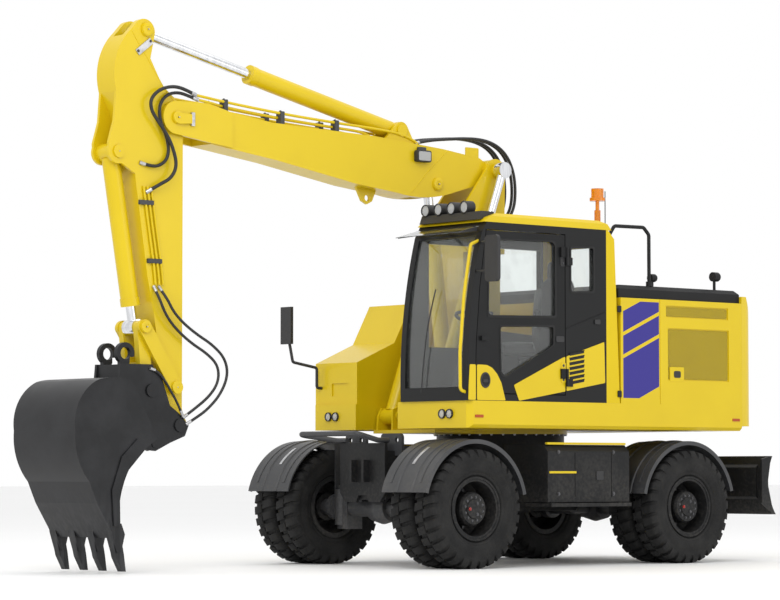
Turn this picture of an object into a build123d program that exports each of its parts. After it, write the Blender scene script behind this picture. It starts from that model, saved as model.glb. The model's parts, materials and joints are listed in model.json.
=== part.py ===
from build123d import *
import os
from math import atan2, cos, degrees, hypot, radians, sin

os.makedirs("parts", exist_ok=True)

# A wheeled excavator in millimetres: x forward, y to the left, z up, on the floor under the slew axis

# Fits
run_clearance = 0.3
side_clear = 0.5
seat_gap = 0.3

# Wheels and axles
tyre_radius = 527.0
tyre_width = 278.0
tread_width = 240.0
lug_height = 24.0
lug_length = 62.0
lug_count = 17
lug_slant = 16.0
rim_radius = 254.0
rim_wall = 12.0
flange_radius = 284.0
rim_width = 200.0
dual_spacing = 320.0
width_over_tyres = 2550.0
front_axle_x = 1430.0
rear_axle_x = -1250.0
axle_z = tyre_radius
hub_radius = 150.0
hub_face = 258.0
spindle_radius = 75.0
kingpin_y = 600.0
kingpin_radius = 35.0
fork_reach = 165.0
fork_ear = 35.0
twin_y = width_over_tyres / 2 - tyre_width / 2 - dual_spacing / 2

# Undercarriage
frame_half = 300.0
frame_low = 640.0
frame_high = 1040.0
frame_rear_x = -1560.0
nose_x = 1690.0
nose_low = 600.0
nose_high = 1112.0
nose_half = 315.0
ring_radius = 600.0
ring_joint = 1200.0
tie_down_radius = 24.0
tie_down_plate = 30.0
tie_down_x = 1530.0
tie_down_y = 250.0
tie_down_z = 1138.0
tie_down_pitch = 150.0
box_inner_y = 620.0
box_outer_y = 1200.0
box_front_x = 519.0
box_rear_x = -510.0
box_low = 578.0
box_high = 1097.0
step_reach = 50.0
step_low = 537.0
fender_radius = 600.0
fender_wall = 12.0
fender_lip = 26.0
fender_in_y = 664.0
fender_out_y = 1252.0
guard_front_x = 1950.0
guard_high = 1195.0
guard_radius = 24.0

# Blade
blade_pivot = (-1640.0, 590.0)
blade_arm_y = 391.0
blade_arm_half = 30.0
blade_half = 1262.0
blade_low = 445.0
blade_high = 1003.0
blade_face_x = -2424.0
blade_plate = 32.0
blade_cyl_y = 200.0
blade_base = (-1650.0, 930.0)
blade_eye = (-2214.0, 790.0)
blade_pin_radius = 25.0

# Upper structure
side_y = 1240.0
deck_low = 1240.0
deck_high = 1480.0
deck_wall = 20.0
deck_corner = 45.0
cab_deck_front = 1498.0
right_deck_front = 1270.0
channel_right_y = -600.0
channel_left_y = 268.0
channel_rear_x = 320.0
deck_rear_x = -1985.0
tail_x = -2160.0
tail_corner = 130.0
hood_front_x = -370.0
hood_high = 2454.0
hood_wall = 25.0
rail_high = 2577.0
tank_front_x = 1230.0
tank_inner_y = -630.0

# Cab
cab_inner_y = 335.0
cab_rear_x = -355.0
cab_front_x = 1520.0
cab_floor = deck_high + seat_gap
cab_roof = 3150.0
roof_joint = 3066.0
cab_wall = 60.0
glass_thick = 8.0
door_rear_x = 330.0
door_gap = 8.0
hinge_y = 1262.0
hinge_radius = 13.0
hinge_levels = (1690.0, 2790.0)

# Boom and arm, all in the boom's own plane
boom_y = -165.0
boom_half = 150.0
nose_plate = 30.0
arm_half = 130.0
arm_gap = 15.0
foot = (180.0, 1660.0)
lift_foot = (940.0, 1370.0)
hinge = (90.0, 3680.0)
adjust_foot = (550.0, 1800.0)
adjust_eye = (770.0, 3520.0)
arm_base = (1184.0, 3994.0)
arm_pin = (3785.0, 3914.0)
arm_eye = (4079.0, 4656.0)
bucket_base = (4370.0, 3585.0)
bucket_eye = (4115.0, 2090.0)
lever_pin = (3780.0, 1580.0)
link_pin = (4060.0, 1546.0)
bucket_pin = (3760.0, 1252.0)
pin_radius = 40.0
cap_height = 16.0
lift_offset = 300.0
lift_radius = 75.0
lift_rod_radius = 43.0
fork_inner = 187.0
fork_plate = 25.0
cheek_outer = fork_inner + fork_plate
clevis_inner = 2 * lift_offset - cheek_outer
clevis_plate = 25.0
adjust_radius = 75.0
adjust_rod_radius = 45.0
adjust_lug = 80.0
arm_cyl_radius = 82.0
arm_rod_radius = 46.0
arm_lug = 90.0
lug_plate = 32.0
bucket_cyl_radius = 78.0
bucket_rod_radius = 43.0
ear_inner = 100.0
slot_half = 68.0
lever_inner = 140.0
lever_plate = 38.0
link_inner = 75.0

# Coupler and bucket
coupler_half = 190.0
coupler_plate = 30.0
bucket_pins = ((4020.0, 1090.0), (4310.0, 1530.0))
bucket_pin_radius = 32.0
bucket_half = 460.0
bucket_shell = 16.0
side_wall = 20.0
tooth_count = 4
tooth_width = 70.0


def side_plane(y):
    """A plane across the machine at y, drawn with x to the right and z up, that extrudes towards -y."""
    return Plane.XZ.offset(-y)


def save(part, label):
    """Label a finished piece and write it under its own name."""
    part.label = label
    export_step(part, f"parts/{label}.step")


def both(maker):
    """The left piece and the right piece of a maker that takes the side as 1 or -1."""
    return Compound(children=[maker(1), maker(-1)])


def outline(points, low_y, high_y):
    """A flat piece with straight edges, standing along the machine between two widths."""
    with BuildPart() as piece:
        with BuildSketch(side_plane(max(low_y, high_y))):
            with BuildLine():
                Polyline(*points, close=True)
            make_face()
        extrude(amount=abs(high_y - low_y))
    return piece.part


def boss(centre, radius, low_y, high_y):
    """A round piece across the machine between two widths."""
    with BuildPart() as piece:
        with BuildSketch(side_plane(max(low_y, high_y))):
            with Locations(centre):
                Circle(radius)
        extrude(amount=abs(high_y - low_y))
    return piece.part


def block(low, high):
    """A plain block between two opposite corners, in either order."""
    size = [abs(high[i] - low[i]) for i in range(3)]
    middle = [(high[i] + low[i]) / 2 for i in range(3)]
    with BuildPart() as piece:
        with Locations(tuple(middle)):
            Box(*size)
    return piece.part


def tube(start, end, radius):
    """A round bar between two points."""
    axis = Vector(*end) - Vector(*start)
    with BuildPart() as piece:
        with BuildSketch(Plane(origin=start, z_dir=axis)):
            Circle(radius)
        extrude(amount=axis.length)
    return piece.part


def bent_tube(points, radius, bend):
    """A round bar along straight runs with rounded corners."""
    with BuildPart() as piece:
        with BuildLine() as path:
            FilletPolyline(*points, radius=bend)
        with BuildSketch(Plane(origin=path.line @ 0, z_dir=path.line % 0)):
            Circle(radius)
        sweep()
    return piece.part


def pair(y, inner, outer):
    """The low and high widths of the two mirrored layers at the same offsets from y."""
    return [(y + inner, y + outer), (y - outer, y - inner)]


def pin(centre, y, half, radius=pin_radius):
    """A pin right across, with a round head beyond each end."""
    with BuildPart() as piece:
        add(boss(centre, radius, y - half, y + half))
        for low, high in pair(y, half, half + cap_height):
            add(boss(centre, radius + 16, low, high))
    return piece.part


def along(start, end, y):
    """A plane at start whose normal points to end, with its own x across the machine."""
    return Plane(origin=(start[0], y, start[1]), x_dir=(0, 1, 0), z_dir=(end[0] - start[0], 0, end[1] - start[1]))


def distance(start, end):
    """The length between two points of the boom's plane."""
    return hypot(end[0] - start[0], end[1] - start[1])


def barrel(base, eye, y, radius, rod_radius, reach, eye_half):
    """A cylinder's barrel: base eye, tube, collar and gland, hollow for the rod."""
    gland = 70.0
    with BuildPart() as piece:
        with BuildSketch(along(base, eye, y).offset(radius * 0.6)):
            Circle(radius)
        extrude(amount=reach - radius * 0.6)
        with BuildSketch(along(base, eye, y).offset(reach - gland)):
            Circle(radius + 6)
        extrude(amount=gland)
        add(boss(base, radius, y - eye_half, y + eye_half))
        with BuildSketch(along(base, eye, y).offset(radius * 1.6)):
            Circle(rod_radius + run_clearance)
        extrude(amount=reach, mode=Mode.SUBTRACT)
    return piece.part


def rod(base, eye, y, rod_radius, inner, eye_radius, eye_half):
    """A cylinder's rod from inside the barrel to its eye, with the pin's middle left in the eye."""
    with BuildPart() as piece:
        with BuildSketch(along(base, eye, y).offset(inner)):
            Circle(rod_radius)
        extrude(amount=distance(base, eye) - inner - eye_radius * 0.5)
        add(boss(eye, eye_radius, y - eye_half, y + eye_half))
    return piece.part


def strap(start, end, width, low_y, high_y):
    """A flat link between two pins with round ends."""
    angle = degrees(atan2(end[1] - start[1], end[0] - start[0]))
    with BuildPart() as piece:
        with BuildSketch(side_plane(max(low_y, high_y))):
            with Locations(Location(((start[0] + end[0]) / 2, (start[1] + end[1]) / 2), angle)):
                SlotCenterToCenter(distance(start, end), width)
        extrude(amount=abs(high_y - low_y))
    return piece.part


# Tyres and rims, made once about the y axis and placed four times
def tyre(middle):
    """One tyre on the y axis: carcass with round shoulders and two staggered rows of slanted lugs."""
    half = tyre_width / 2
    bead = rim_width / 2
    tread = tread_width / 2
    crown = tyre_radius - lug_height
    with BuildPart() as piece:
        with BuildSketch(Plane.YZ):
            with BuildLine():
                Line((middle - bead, flange_radius + 6), (middle - bead, rim_radius))
                Line((middle - bead, rim_radius), (middle + bead, rim_radius))
                Line((middle + bead, rim_radius), (middle + bead, flange_radius + 6))
                ThreePointArc((middle + bead, flange_radius + 6), (middle + half, 390), (middle + tread, crown - 16))
                Line((middle + tread, crown - 16), (middle + tread - 30, crown))
                Line((middle + tread - 30, crown), (middle - tread + 30, crown))
                Line((middle - tread + 30, crown), (middle - tread, crown - 16))
                ThreePointArc((middle - tread, crown - 16), (middle - half, 390), (middle - bead, flange_radius + 6))
            make_face()
        revolve(axis=Axis.Y)
        for side in (1, -1):
            row = Plane(origin=(0, middle + side * (tread / 2 - 1), 0), x_dir=(1, 0, 0), z_dir=(0, 1, 0))
            turn = 0 if side == 1 else 180 / lug_count
            with Locations(row):
                with PolarLocations(crown, lug_count, start_angle=turn):
                    Box(2 * lug_height, lug_length, tread - 8, rotation=(side * lug_slant, 0, 0))
    return piece.part


outer_tyre = tyre(dual_spacing / 2)
inner_tyre = tyre(-dual_spacing / 2)

with BuildPart() as rim_master:
    bead = rim_width / 2
    inner_wall = rim_radius - rim_wall
    for sign in (1, -1):
        middle = sign * dual_spacing / 2
        with BuildSketch(Plane.YZ):
            with BuildLine():
                Polyline(
                    (middle - bead - 8, flange_radius),
                    (middle - bead, flange_radius),
                    (middle - bead, rim_radius),
                    (middle + bead, rim_radius),
                    (middle + bead, flange_radius),
                    (middle + bead + 8, flange_radius),
                    (middle + bead + 8, inner_wall),
                    (middle - bead - 8, inner_wall),
                    close=True,
                )
            make_face()
        revolve(axis=Axis.Y)
        near = sign * (dual_spacing / 2 - bead - 8)
        with BuildSketch(Plane.YZ):
            with BuildLine():
                Polyline(
                    (near, inner_wall + 2),
                    (near + sign * 14, inner_wall + 2),
                    (sign * 16, hub_radius + 40),
                    (sign * 16, hub_radius - 40),
                    (0, hub_radius - 40),
                    (0, hub_radius + 40),
                    close=True,
                )
            make_face()
        revolve(axis=Axis.Y)
    with BuildSketch(Plane.YZ):
        with BuildLine():
            Polyline(
                (-150, spindle_radius + run_clearance),
                (-150, hub_radius - 25),
                (30, hub_radius - 25),
                (30, hub_radius),
                (hub_face - 40, hub_radius),
                (hub_face - 14, hub_radius - 14),
                (hub_face - 14, hub_radius - 60),
                (hub_face, hub_radius - 66),
                (hub_face, 0),
                (40, 0),
                (40, spindle_radius + run_clearance),
                close=True,
            )
        make_face()
    revolve(axis=Axis.Y)

corners = {
    "front_left": (front_axle_x, 1),
    "front_right": (front_axle_x, -1),
    "rear_left": (rear_axle_x, 1),
    "rear_right": (rear_axle_x, -1),
}
for corner, (axle_x, side) in corners.items():
    turn = 0 if side == 1 else 180
    place = Pos(axle_x, side * twin_y, axle_z) * Rot(0, 0, turn)
    save(Compound(children=[place * outer_tyre, place * inner_tyre]), f"tyres_{corner}")
    save(place * rim_master.part, f"rims_{corner}")


# Axles
def spindle(axle_x, side):
    """The round stub that a twin wheel turns on."""
    return tube((axle_x, side * 690, axle_z), (axle_x, side * (twin_y + 30), axle_z), spindle_radius)


def axle_beam(axle_x, half, shaft):
    """A driven axle's beam: tapered housing with a round drive case, and its shaft flange."""
    with BuildPart() as piece:
        with BuildSketch(Plane.XZ):
            with Locations((axle_x, axle_z)):
                Circle(150)
        extrude(amount=120, both=True, taper=12)
        add(tube((axle_x, -half, axle_z), (axle_x, half, axle_z), 85))
        add(tube((axle_x, 0, axle_z), (axle_x + shaft, 0, axle_z), 70))
        for side in (1, -1):
            add(block((axle_x - 70, side * 235, axle_z + 30), (axle_x + 70, side * 285, frame_low)))
    return piece.part


with BuildPart() as rear_axle:
    add(axle_beam(rear_axle_x, 650, 300))
    for side in (1, -1):
        add(tube((rear_axle_x, side * 600, axle_z), (rear_axle_x, side * 700, axle_z), 125))
        add(spindle(rear_axle_x, side))
save(rear_axle.part, "rear_axle")

with BuildPart() as front_axle:
    add(axle_beam(front_axle_x, 430, -300))
    for side in (1, -1):
        for low in (-fork_reach - fork_ear, fork_reach):
            with BuildSketch(Plane.XY.offset(axle_z + low)):
                with BuildLine():
                    Polyline(
                        (front_axle_x - 90, side * 420),
                        (front_axle_x + 90, side * 420),
                        (front_axle_x + 44, side * kingpin_y),
                        (front_axle_x - 44, side * kingpin_y),
                        close=True,
                    )
                make_face()
                with Locations((front_axle_x, side * kingpin_y)):
                    Circle(44)
            extrude(amount=fork_ear)
        for level in (1, -1):
            near = (front_axle_x, side * kingpin_y, axle_z + level * (fork_reach - 50))
            far = (front_axle_x, side * kingpin_y, axle_z + level * (fork_reach + fork_ear))
            add(tube(near, far, kingpin_radius))
        lift = fork_reach + fork_ear
        add(block((front_axle_x - 90, side * 420, axle_z - lift), (front_axle_x + 90, side * 480, axle_z + lift)))
save(front_axle.part, "front_axle")

for name, side in (("left", 1), ("right", -1)):
    with BuildPart() as knuckle:
        with BuildSketch(Plane.XY.offset(axle_z - fork_reach + side_clear)):
            with Locations((front_axle_x, side * kingpin_y)):
                Circle(68)
        extrude(amount=2 * (fork_reach - side_clear))
        add(tube((front_axle_x, side * (kingpin_y + 40), axle_z), (front_axle_x, side * 700, axle_z), 120))
        add(spindle(front_axle_x, side))
        inner_y = side * (fender_in_y - 14)
        outer_y = side * (fender_in_y - seat_gap)
        top = axle_z + fender_radius + 8
        add(block((front_axle_x - 40, inner_y, axle_z + 60), (front_axle_x + 40, outer_y, top)))
        for low in (-fork_reach, fork_reach - 60):
            with BuildSketch(Plane.XY.offset(axle_z + low)):
                with Locations((front_axle_x, side * kingpin_y)):
                    Circle(kingpin_radius + run_clearance)
            extrude(amount=60, mode=Mode.SUBTRACT)
    save(knuckle.part, f"knuckle_{name}")


def fender(axle_x, side, low_angle, high_angle):
    """A curved guard over a twin wheel: its section with an outer lip and two ribs, turned about the axle."""
    outward = (cos(radians(low_angle)), 0, sin(radians(low_angle)))
    top = fender_radius + fender_wall
    width = fender_out_y - fender_in_y
    ribs = []
    for share in (0.67, 0.33):
        middle = fender_in_y + share * width
        for step_y, step_z in ((22, 0), (14, 9), (-14, 9), (-22, 0)):
            ribs.append((side * (middle + step_y), top + step_z))
    with BuildPart() as piece:
        with BuildSketch(Plane(origin=(axle_x, 0, axle_z), x_dir=(0, 1, 0), z_dir=(outward[2], 0, -outward[0]))):
            with BuildLine():
                Polyline(
                    (side * fender_in_y, fender_radius),
                    (side * (fender_out_y - 10), fender_radius),
                    (side * (fender_out_y - 10), fender_radius - fender_lip),
                    (side * fender_out_y, fender_radius - fender_lip),
                    (side * fender_out_y, top),
                    *ribs,
                    (side * fender_in_y, top),
                    close=True,
                )
            make_face()
        revolve(axis=Axis((axle_x, 0, axle_z), (0, -1, 0)), revolution_arc=high_angle - low_angle)
    return piece.part


save(fender(front_axle_x, 1, 14, 168), "fender_front_left")
save(fender(front_axle_x, -1, 14, 168), "fender_front_right")
save(Compound(children=[fender(rear_axle_x, 1, 12, 166), fender(rear_axle_x, -1, 12, 166)]), "rear_fenders")

# Chassis frame with nose plate, ring, fender carriers, box carriers and blade brackets
with BuildPart() as chassis:
    profile = [
        (frame_rear_x, frame_low),
        (front_axle_x + 120, frame_low),
        (nose_x - 30, nose_low),
        (nose_x - 30, nose_high - 70),
        (nose_x - 200, frame_high),
        (frame_rear_x, frame_high),
    ]
    add(outline(profile, -frame_half, frame_half))
    with BuildSketch(Plane.YZ.offset(nose_x - 32)):
        with BuildLine():
            Polyline(
                (-nose_half, nose_high),
                (nose_half, nose_high),
                (nose_half, nose_low + 60),
                (nose_half - 70, nose_low - 20),
                (90, nose_low - 20),
                (60, nose_low + 40),
                (-60, nose_low + 40),
                (-90, nose_low - 20),
                (-nose_half + 70, nose_low - 20),
                (-nose_half, nose_low + 60),
                close=True,
            )
        make_face()
    extrude(amount=32)
    add(block((nose_x, -100, 760), (nose_x + 70, -70, 960)))
    add(block((nose_x, 70, 760), (nose_x + 70, 100, 960)))
    with BuildSketch(Plane.XY.offset(frame_high - 5)):
        Circle(ring_radius)
    extrude(amount=ring_joint - side_clear - frame_high + 5)
    for side in (1, -1):
        bracket = [
            (frame_rear_x + 60, 660),
            (blade_pivot[0] - 60, blade_pivot[1] - 60),
            (blade_pivot[0] - 60, blade_pivot[1] + 60),
            (frame_rear_x + 60, 980),
        ]
        add(outline(bracket, side * 300, side * 360))
        add(boss(blade_pivot, 35, side * 350, side * 460))
        add(block((-300, side * 290, 700), (330, side * box_inner_y, 1000)))
        carrier_y = side * (fender_in_y - seat_gap)
        add(block((rear_axle_x - 60, side * 290, frame_high - 60), (rear_axle_x + 60, carrier_y, frame_high - 20)))
        carrier_low = (rear_axle_x - 60, side * (fender_in_y - 24), frame_high - 60)
        add(block(carrier_low, (rear_axle_x + 60, carrier_y, axle_z + fender_radius + 8)))
        for low, high in pair(side * blade_cyl_y, 46, 72):
            lug = [
                (frame_rear_x + 40, frame_high - 180),
                (blade_base[0] - 30, blade_base[1] - 55),
                (blade_base[0] - 60, blade_base[1]),
                (blade_base[0] - 30, blade_base[1] + 55),
                (frame_rear_x + 80, frame_high),
            ]
            add(outline(lug, low, high))
            add(boss(blade_base, blade_pin_radius + run_clearance, low, high), mode=Mode.SUBTRACT)
    for axle_x in (front_axle_x, rear_axle_x):
        add(block((axle_x - 200, -215, 500), (axle_x + 200, 215, frame_low + 80)), mode=Mode.SUBTRACT)
save(chassis.part, "chassis_frame")


def tie_down(side):
    """An upright plate on the nose with two holes for lashing hooks."""
    with BuildPart() as piece:
        with BuildSketch(Plane.YZ.offset(tie_down_x)):
            with Locations((side * tie_down_y, tie_down_z - 40)):
                RectangleRounded(290, 200, 40)
            with Locations((side * tie_down_y - tie_down_pitch / 2, tie_down_z)):
                Circle(tie_down_radius, mode=Mode.SUBTRACT)
            with Locations((side * tie_down_y + tie_down_pitch / 2, tie_down_z)):
                Circle(tie_down_radius, mode=Mode.SUBTRACT)
        extrude(amount=tie_down_plate)
        add(chassis.part, mode=Mode.SUBTRACT)
    return piece.part


save(both(tie_down), "tie_down_plates")

guard_path = [
    (nose_x - 60, 290, nose_high + guard_radius),
    (nose_x + 60, 290, nose_high + guard_radius),
    (guard_front_x, 240, guard_high),
    (guard_front_x, -636, guard_high),
    (1660, -400, nose_high + guard_radius),
    (1660, -250, nose_high + guard_radius),
]
save(bent_tube(guard_path, guard_radius, 50), "front_guard_tube")

with BuildPart() as drive:
    add(block((-260, -170, 470), (180, 170, frame_low)))
    add(tube((180, 0, axle_z), (front_axle_x - 300, 0, axle_z), 45))
    add(tube((-260, 0, axle_z), (rear_axle_x + 300, 0, axle_z), 45))
save(drive.part, "gearbox_and_shafts")

for name, side in (("left", 1), ("right", -1)):
    with BuildPart() as side_box:
        with BuildSketch(Plane.YZ.offset(box_rear_x)):
            with BuildLine():
                Polyline(
                    (side * box_inner_y, box_low),
                    (side * box_outer_y, box_low),
                    (side * box_outer_y, box_high - 60),
                    (side * (box_outer_y - 60), box_high),
                    (side * box_inner_y, box_high),
                    close=True,
                )
            make_face()
        extrude(amount=box_front_x - box_rear_x)
        for seam_x in (-280, 180):
            seam_low = (seam_x - 4, side * (box_outer_y - 6), box_low + 45)
            add(block(seam_low, (seam_x + 4, side * (box_outer_y + 5), box_high - 70)), mode=Mode.SUBTRACT)
        step_outer = side * (box_outer_y + step_reach)
        add(block((box_rear_x + 20, side * 900, step_low), (box_front_x, step_outer, box_low - 8)))
        for post_x in (box_rear_x + 60, box_front_x - 120):
            add(block((post_x, side * 960, step_low + 5), (post_x + 60, side * 1180, box_low + 5)))
        for hole_x in (-330, -150, 30, 210, 390):
            hole_low = (hole_x, side * (box_outer_y + 8), step_low - 5)
            add(block(hole_low, (hole_x + 90, side * (box_outer_y + 36), box_low + 2)), mode=Mode.SUBTRACT)
    save(side_box.part, f"side_box_{name}")

# Blade: curved face, back box, arms and cylinder lugs
with BuildPart() as blade:
    middle_z = (blade_low + blade_high) / 2 + 20
    with BuildSketch(side_plane(blade_half)):
        with BuildLine():
            ThreePointArc((blade_face_x + 43, blade_high), (blade_face_x + 104, middle_z), (blade_face_x, blade_low))
            Line((blade_face_x, blade_low), (blade_face_x + 60, blade_low))
            ThreePointArc(
                (blade_face_x + 60, blade_low),
                (blade_face_x + 104 + blade_plate, middle_z),
                (blade_face_x + 86, blade_high),
            )
            Line((blade_face_x + 86, blade_high), (blade_face_x + 43, blade_high))
        make_face()
    extrude(amount=2 * blade_half)
    box = [
        (blade_face_x + 100, middle_z - 170),
        (blade_face_x + 145, middle_z - 130),
        (blade_face_x + 145, middle_z + 150),
        (blade_face_x + 100, middle_z + 190),
    ]
    add(outline(box, -blade_half + 120, blade_half - 120))
    for side in (1, -1):
        cheek = [
            (blade_face_x + 30, blade_low),
            (blade_face_x + 192, blade_low + 110),
            (blade_face_x + 192, blade_high - 30),
            (blade_face_x + 60, blade_high),
            (blade_face_x + 110, middle_z),
        ]
        add(outline(cheek, side * (blade_half - 22), side * blade_half))
        arm_outline = [
            (blade_face_x + 125, blade_low + 60),
            (blade_pivot[0], blade_pivot[1] - 55),
            (blade_pivot[0], blade_pivot[1] + 55),
            (blade_face_x + 125, middle_z + 120),
        ]
        arm_low, arm_high = sorted((side * (360 + side_clear), side * (blade_arm_y + blade_arm_half)))
        add(outline(arm_outline, arm_low, arm_high))
        add(boss(blade_pivot, 60, arm_low, arm_high))
        add(boss(blade_pivot, 35 + run_clearance, arm_low, arm_high), mode=Mode.SUBTRACT)
        for low, high in pair(side * blade_cyl_y, 34 + side_clear, 60):
            lug = [
                (blade_face_x + 125, blade_eye[1] - 90),
                (blade_eye[0] - 10, blade_eye[1] - 48),
                (blade_eye[0] + 38, blade_eye[1] - 30),
                (blade_eye[0] + 38, blade_eye[1] + 30),
                (blade_eye[0] - 10, blade_eye[1] + 48),
                (blade_face_x + 125, blade_eye[1] + 80),
            ]
            add(outline(lug, low, high))
save(blade.part, "blade")


def blade_barrel(side):
    """A blade cylinder's barrel with its foot pin."""
    y = side * blade_cyl_y
    return barrel(blade_base, blade_eye, y, 45, 28, 460, 45.5) + pin(blade_base, y, 72.5, blade_pin_radius)


def blade_rod(side):
    """A blade cylinder's rod."""
    return rod(blade_base, blade_eye, side * blade_cyl_y, 28, 150, 42, 34)


save(both(blade_barrel), "blade_barrels")
save(both(blade_rod), "blade_rods")

# Revolving frame: side decks open below, channel floor, ring flange and the boom's main plates
with BuildPart() as deck:
    with BuildSketch(Plane.XY.offset(deck_low)):
        with BuildLine():
            Polyline(
                (deck_rear_x, -side_y),
                (right_deck_front, -side_y),
                (right_deck_front, channel_right_y),
                (channel_rear_x, channel_right_y),
                (channel_rear_x, channel_left_y),
                (cab_deck_front, channel_left_y),
                (cab_deck_front, side_y),
                (deck_rear_x, side_y),
                close=True,
            )
        make_face()
    extrude(amount=deck_high - deck_low)
    corner_edges = deck.edges().filter_by(Axis.Z).filter_by(lambda e: e.center().X > 0 and abs(e.center().Y) > 1200)
    chamfer(corner_edges, deck_corner)
    lower_edges = deck.edges().filter_by(Axis.X).filter_by(lambda e: e.center().Z < deck_low + 1)
    chamfer(lower_edges.filter_by(lambda e: abs(e.center().Y) > 1200), 30)
    right_pocket = (deck_rear_x + 500, -side_y + 50, deck_low - 1)
    right_front = (right_deck_front - deck_wall, channel_right_y - deck_wall, deck_high - deck_wall)
    add(block(right_pocket, right_front), mode=Mode.SUBTRACT)
    left_pocket = (deck_rear_x + 500, channel_left_y + deck_wall + 250, deck_low - 1)
    left_front = (cab_deck_front - deck_wall, side_y - 50, deck_high - deck_wall)
    add(block(left_pocket, left_front), mode=Mode.SUBTRACT)
    with BuildSketch(Plane.XY.offset(ring_joint)):
        Circle(ring_radius + 30)
        Circle(ring_radius - 140, mode=Mode.SUBTRACT)
    extrude(amount=deck_low - ring_joint + 5)
    floor_low = (channel_rear_x - 20, channel_right_y - 5, ring_joint + 8)
    add(block(floor_low, (1050, channel_left_y + 5, deck_low)))
    for low, high in pair(boom_y, fork_inner, cheek_outer - 4):
        cheek = [
            (-300, deck_low - 5),
            (lift_foot[0] + 90, deck_low - 5),
            (lift_foot[0] + 85, lift_foot[1] + 60),
            (lift_foot[0] - 60, lift_foot[1] + 120),
            (foot[0] + 170, foot[1] + 40),
            (foot[0] + 80, foot[1] + 130),
            (foot[0] - 80, foot[1] + 130),
            (-300, 1560),
        ]
        add(outline(cheek, low, high))
    for low, high in pair(boom_y, cheek_outer - 5, cheek_outer):
        add(boss(lift_foot, lift_radius, low, high))
        add(boss(foot, 85, low, high))
    for low, high in pair(boom_y, 60, fork_inner):
        add(boss(foot, pin_radius, low, high))
    for low, high in pair(boom_y, clevis_inner, clevis_inner + clevis_plate):
        clevis = [
            (lift_foot[0] - 190, deck_low - 5),
            (lift_foot[0] + 100, deck_low - 5),
            (lift_foot[0] + 90, lift_foot[1]),
            (lift_foot[0] + 50, lift_foot[1] + 75),
            (lift_foot[0] - 50, lift_foot[1] + 75),
        ]
        add(outline(clevis, low, high))
    add(boss(lift_foot, pin_radius + run_clearance, boom_y - 500, boom_y + 500), mode=Mode.SUBTRACT)
save(deck.part, "revolving_frame")

# Counterweight: rounded plan cut by its bulging side profile, with a block into the engine bay
with BuildPart() as counterweight:
    with BuildSketch(Plane.XY.offset(deck_low)):
        with BuildLine():
            Polyline((tail_x + tail_corner, side_y), (deck_rear_x - 1, side_y), (deck_rear_x - 1, -side_y))
            Line((deck_rear_x - 1, -side_y), (tail_x + tail_corner, -side_y))
            RadiusArc((tail_x + tail_corner, -side_y), (tail_x, -side_y + tail_corner), tail_corner)
            Line((tail_x, -side_y + tail_corner), (tail_x, side_y - tail_corner))
            RadiusArc((tail_x, side_y - tail_corner), (tail_x + tail_corner, side_y), tail_corner)
        make_face()
    extrude(amount=2530 - deck_low)
    with BuildSketch(side_plane(side_y + 50)):
        with BuildLine():
            Polyline(
                (deck_rear_x, deck_low + 45),
                (tail_x + 45, deck_low + 45),
                (tail_x, deck_low + 95),
                (tail_x, 1990),
            )
            ThreePointArc((tail_x, 1990), (tail_x + 18, 2250), (tail_x + 70, 2430))
            Polyline((tail_x + 70, 2430), (tail_x + 110, 2520), (deck_rear_x, 2520), (deck_rear_x, deck_low + 45))
        make_face()
    extrude(amount=2 * side_y + 100, mode=Mode.INTERSECT)
    add(block((deck_rear_x - 2, -1150, deck_high + seat_gap), (-1560, 1150, 2250)))
save(counterweight.part, "counterweight")

save(block((-1350, -560, deck_high + seat_gap), (-450, 560, 2150)), "engine_block")

# Hood shell with a recess for each grille
with BuildPart() as hood:
    add(block((deck_rear_x, -side_y, deck_high), (hood_front_x, side_y, hood_high)))
    inner_low = (deck_rear_x - 1, -side_y + hood_wall, deck_high - 1)
    add(block(inner_low, (hood_front_x - hood_wall, side_y - hood_wall, hood_high - hood_wall)), mode=Mode.SUBTRACT)
    for side in (1, -1):
        for rear_x, front_x, low, high in ((-1800, -962, 2290, 2400), (-1808, -985, 1705, 2190)):
            recess = (rear_x, side * (side_y - 12), low)
            add(block(recess, (front_x, side * (side_y + 5), high)), mode=Mode.SUBTRACT)
        for seam_x in (-880,):
            seam = (seam_x - 4, side * (side_y - 5), deck_high - 1)
            add(block(seam, (seam_x + 4, side * (side_y + 5), hood_high)), mode=Mode.SUBTRACT)
save(hood.part, "engine_hood")

with BuildPart() as hood_top:
    add(block((deck_rear_x, -side_y + 30, hood_high), (hood_front_x, side_y - 30, rail_high)))
    chamfer(hood_top.edges().group_by(Axis.Z)[-1], 38)
save(hood_top.part, "hood_top")

# Right tank and tool box, with the walkway step at its front
with BuildPart() as tank:
    tank_outline = [
        (hood_front_x + 1, deck_high),
        (tank_front_x, deck_high),
        (tank_front_x, 1871),
        (774, 2063),
        (567, 2437),
        (hood_front_x + 1, 2437),
    ]
    add(outline(tank_outline, -side_y, tank_inner_y))
    add(block((tank_front_x - 12, -1000, 1560), (tank_front_x + 5, -760, 1680)), mode=Mode.SUBTRACT)
save(tank.part, "right_tank_and_tool_box")

# Cab: the shell's side outline, then the same drawn smaller for the hollow
rear_low = (cab_rear_x, cab_floor)
rear_top = (cab_rear_x + 65, 2985)
front_low = (cab_front_x, cab_floor)
front_middle = (1478, 2330)
front_top = (1350, 2965)


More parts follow.
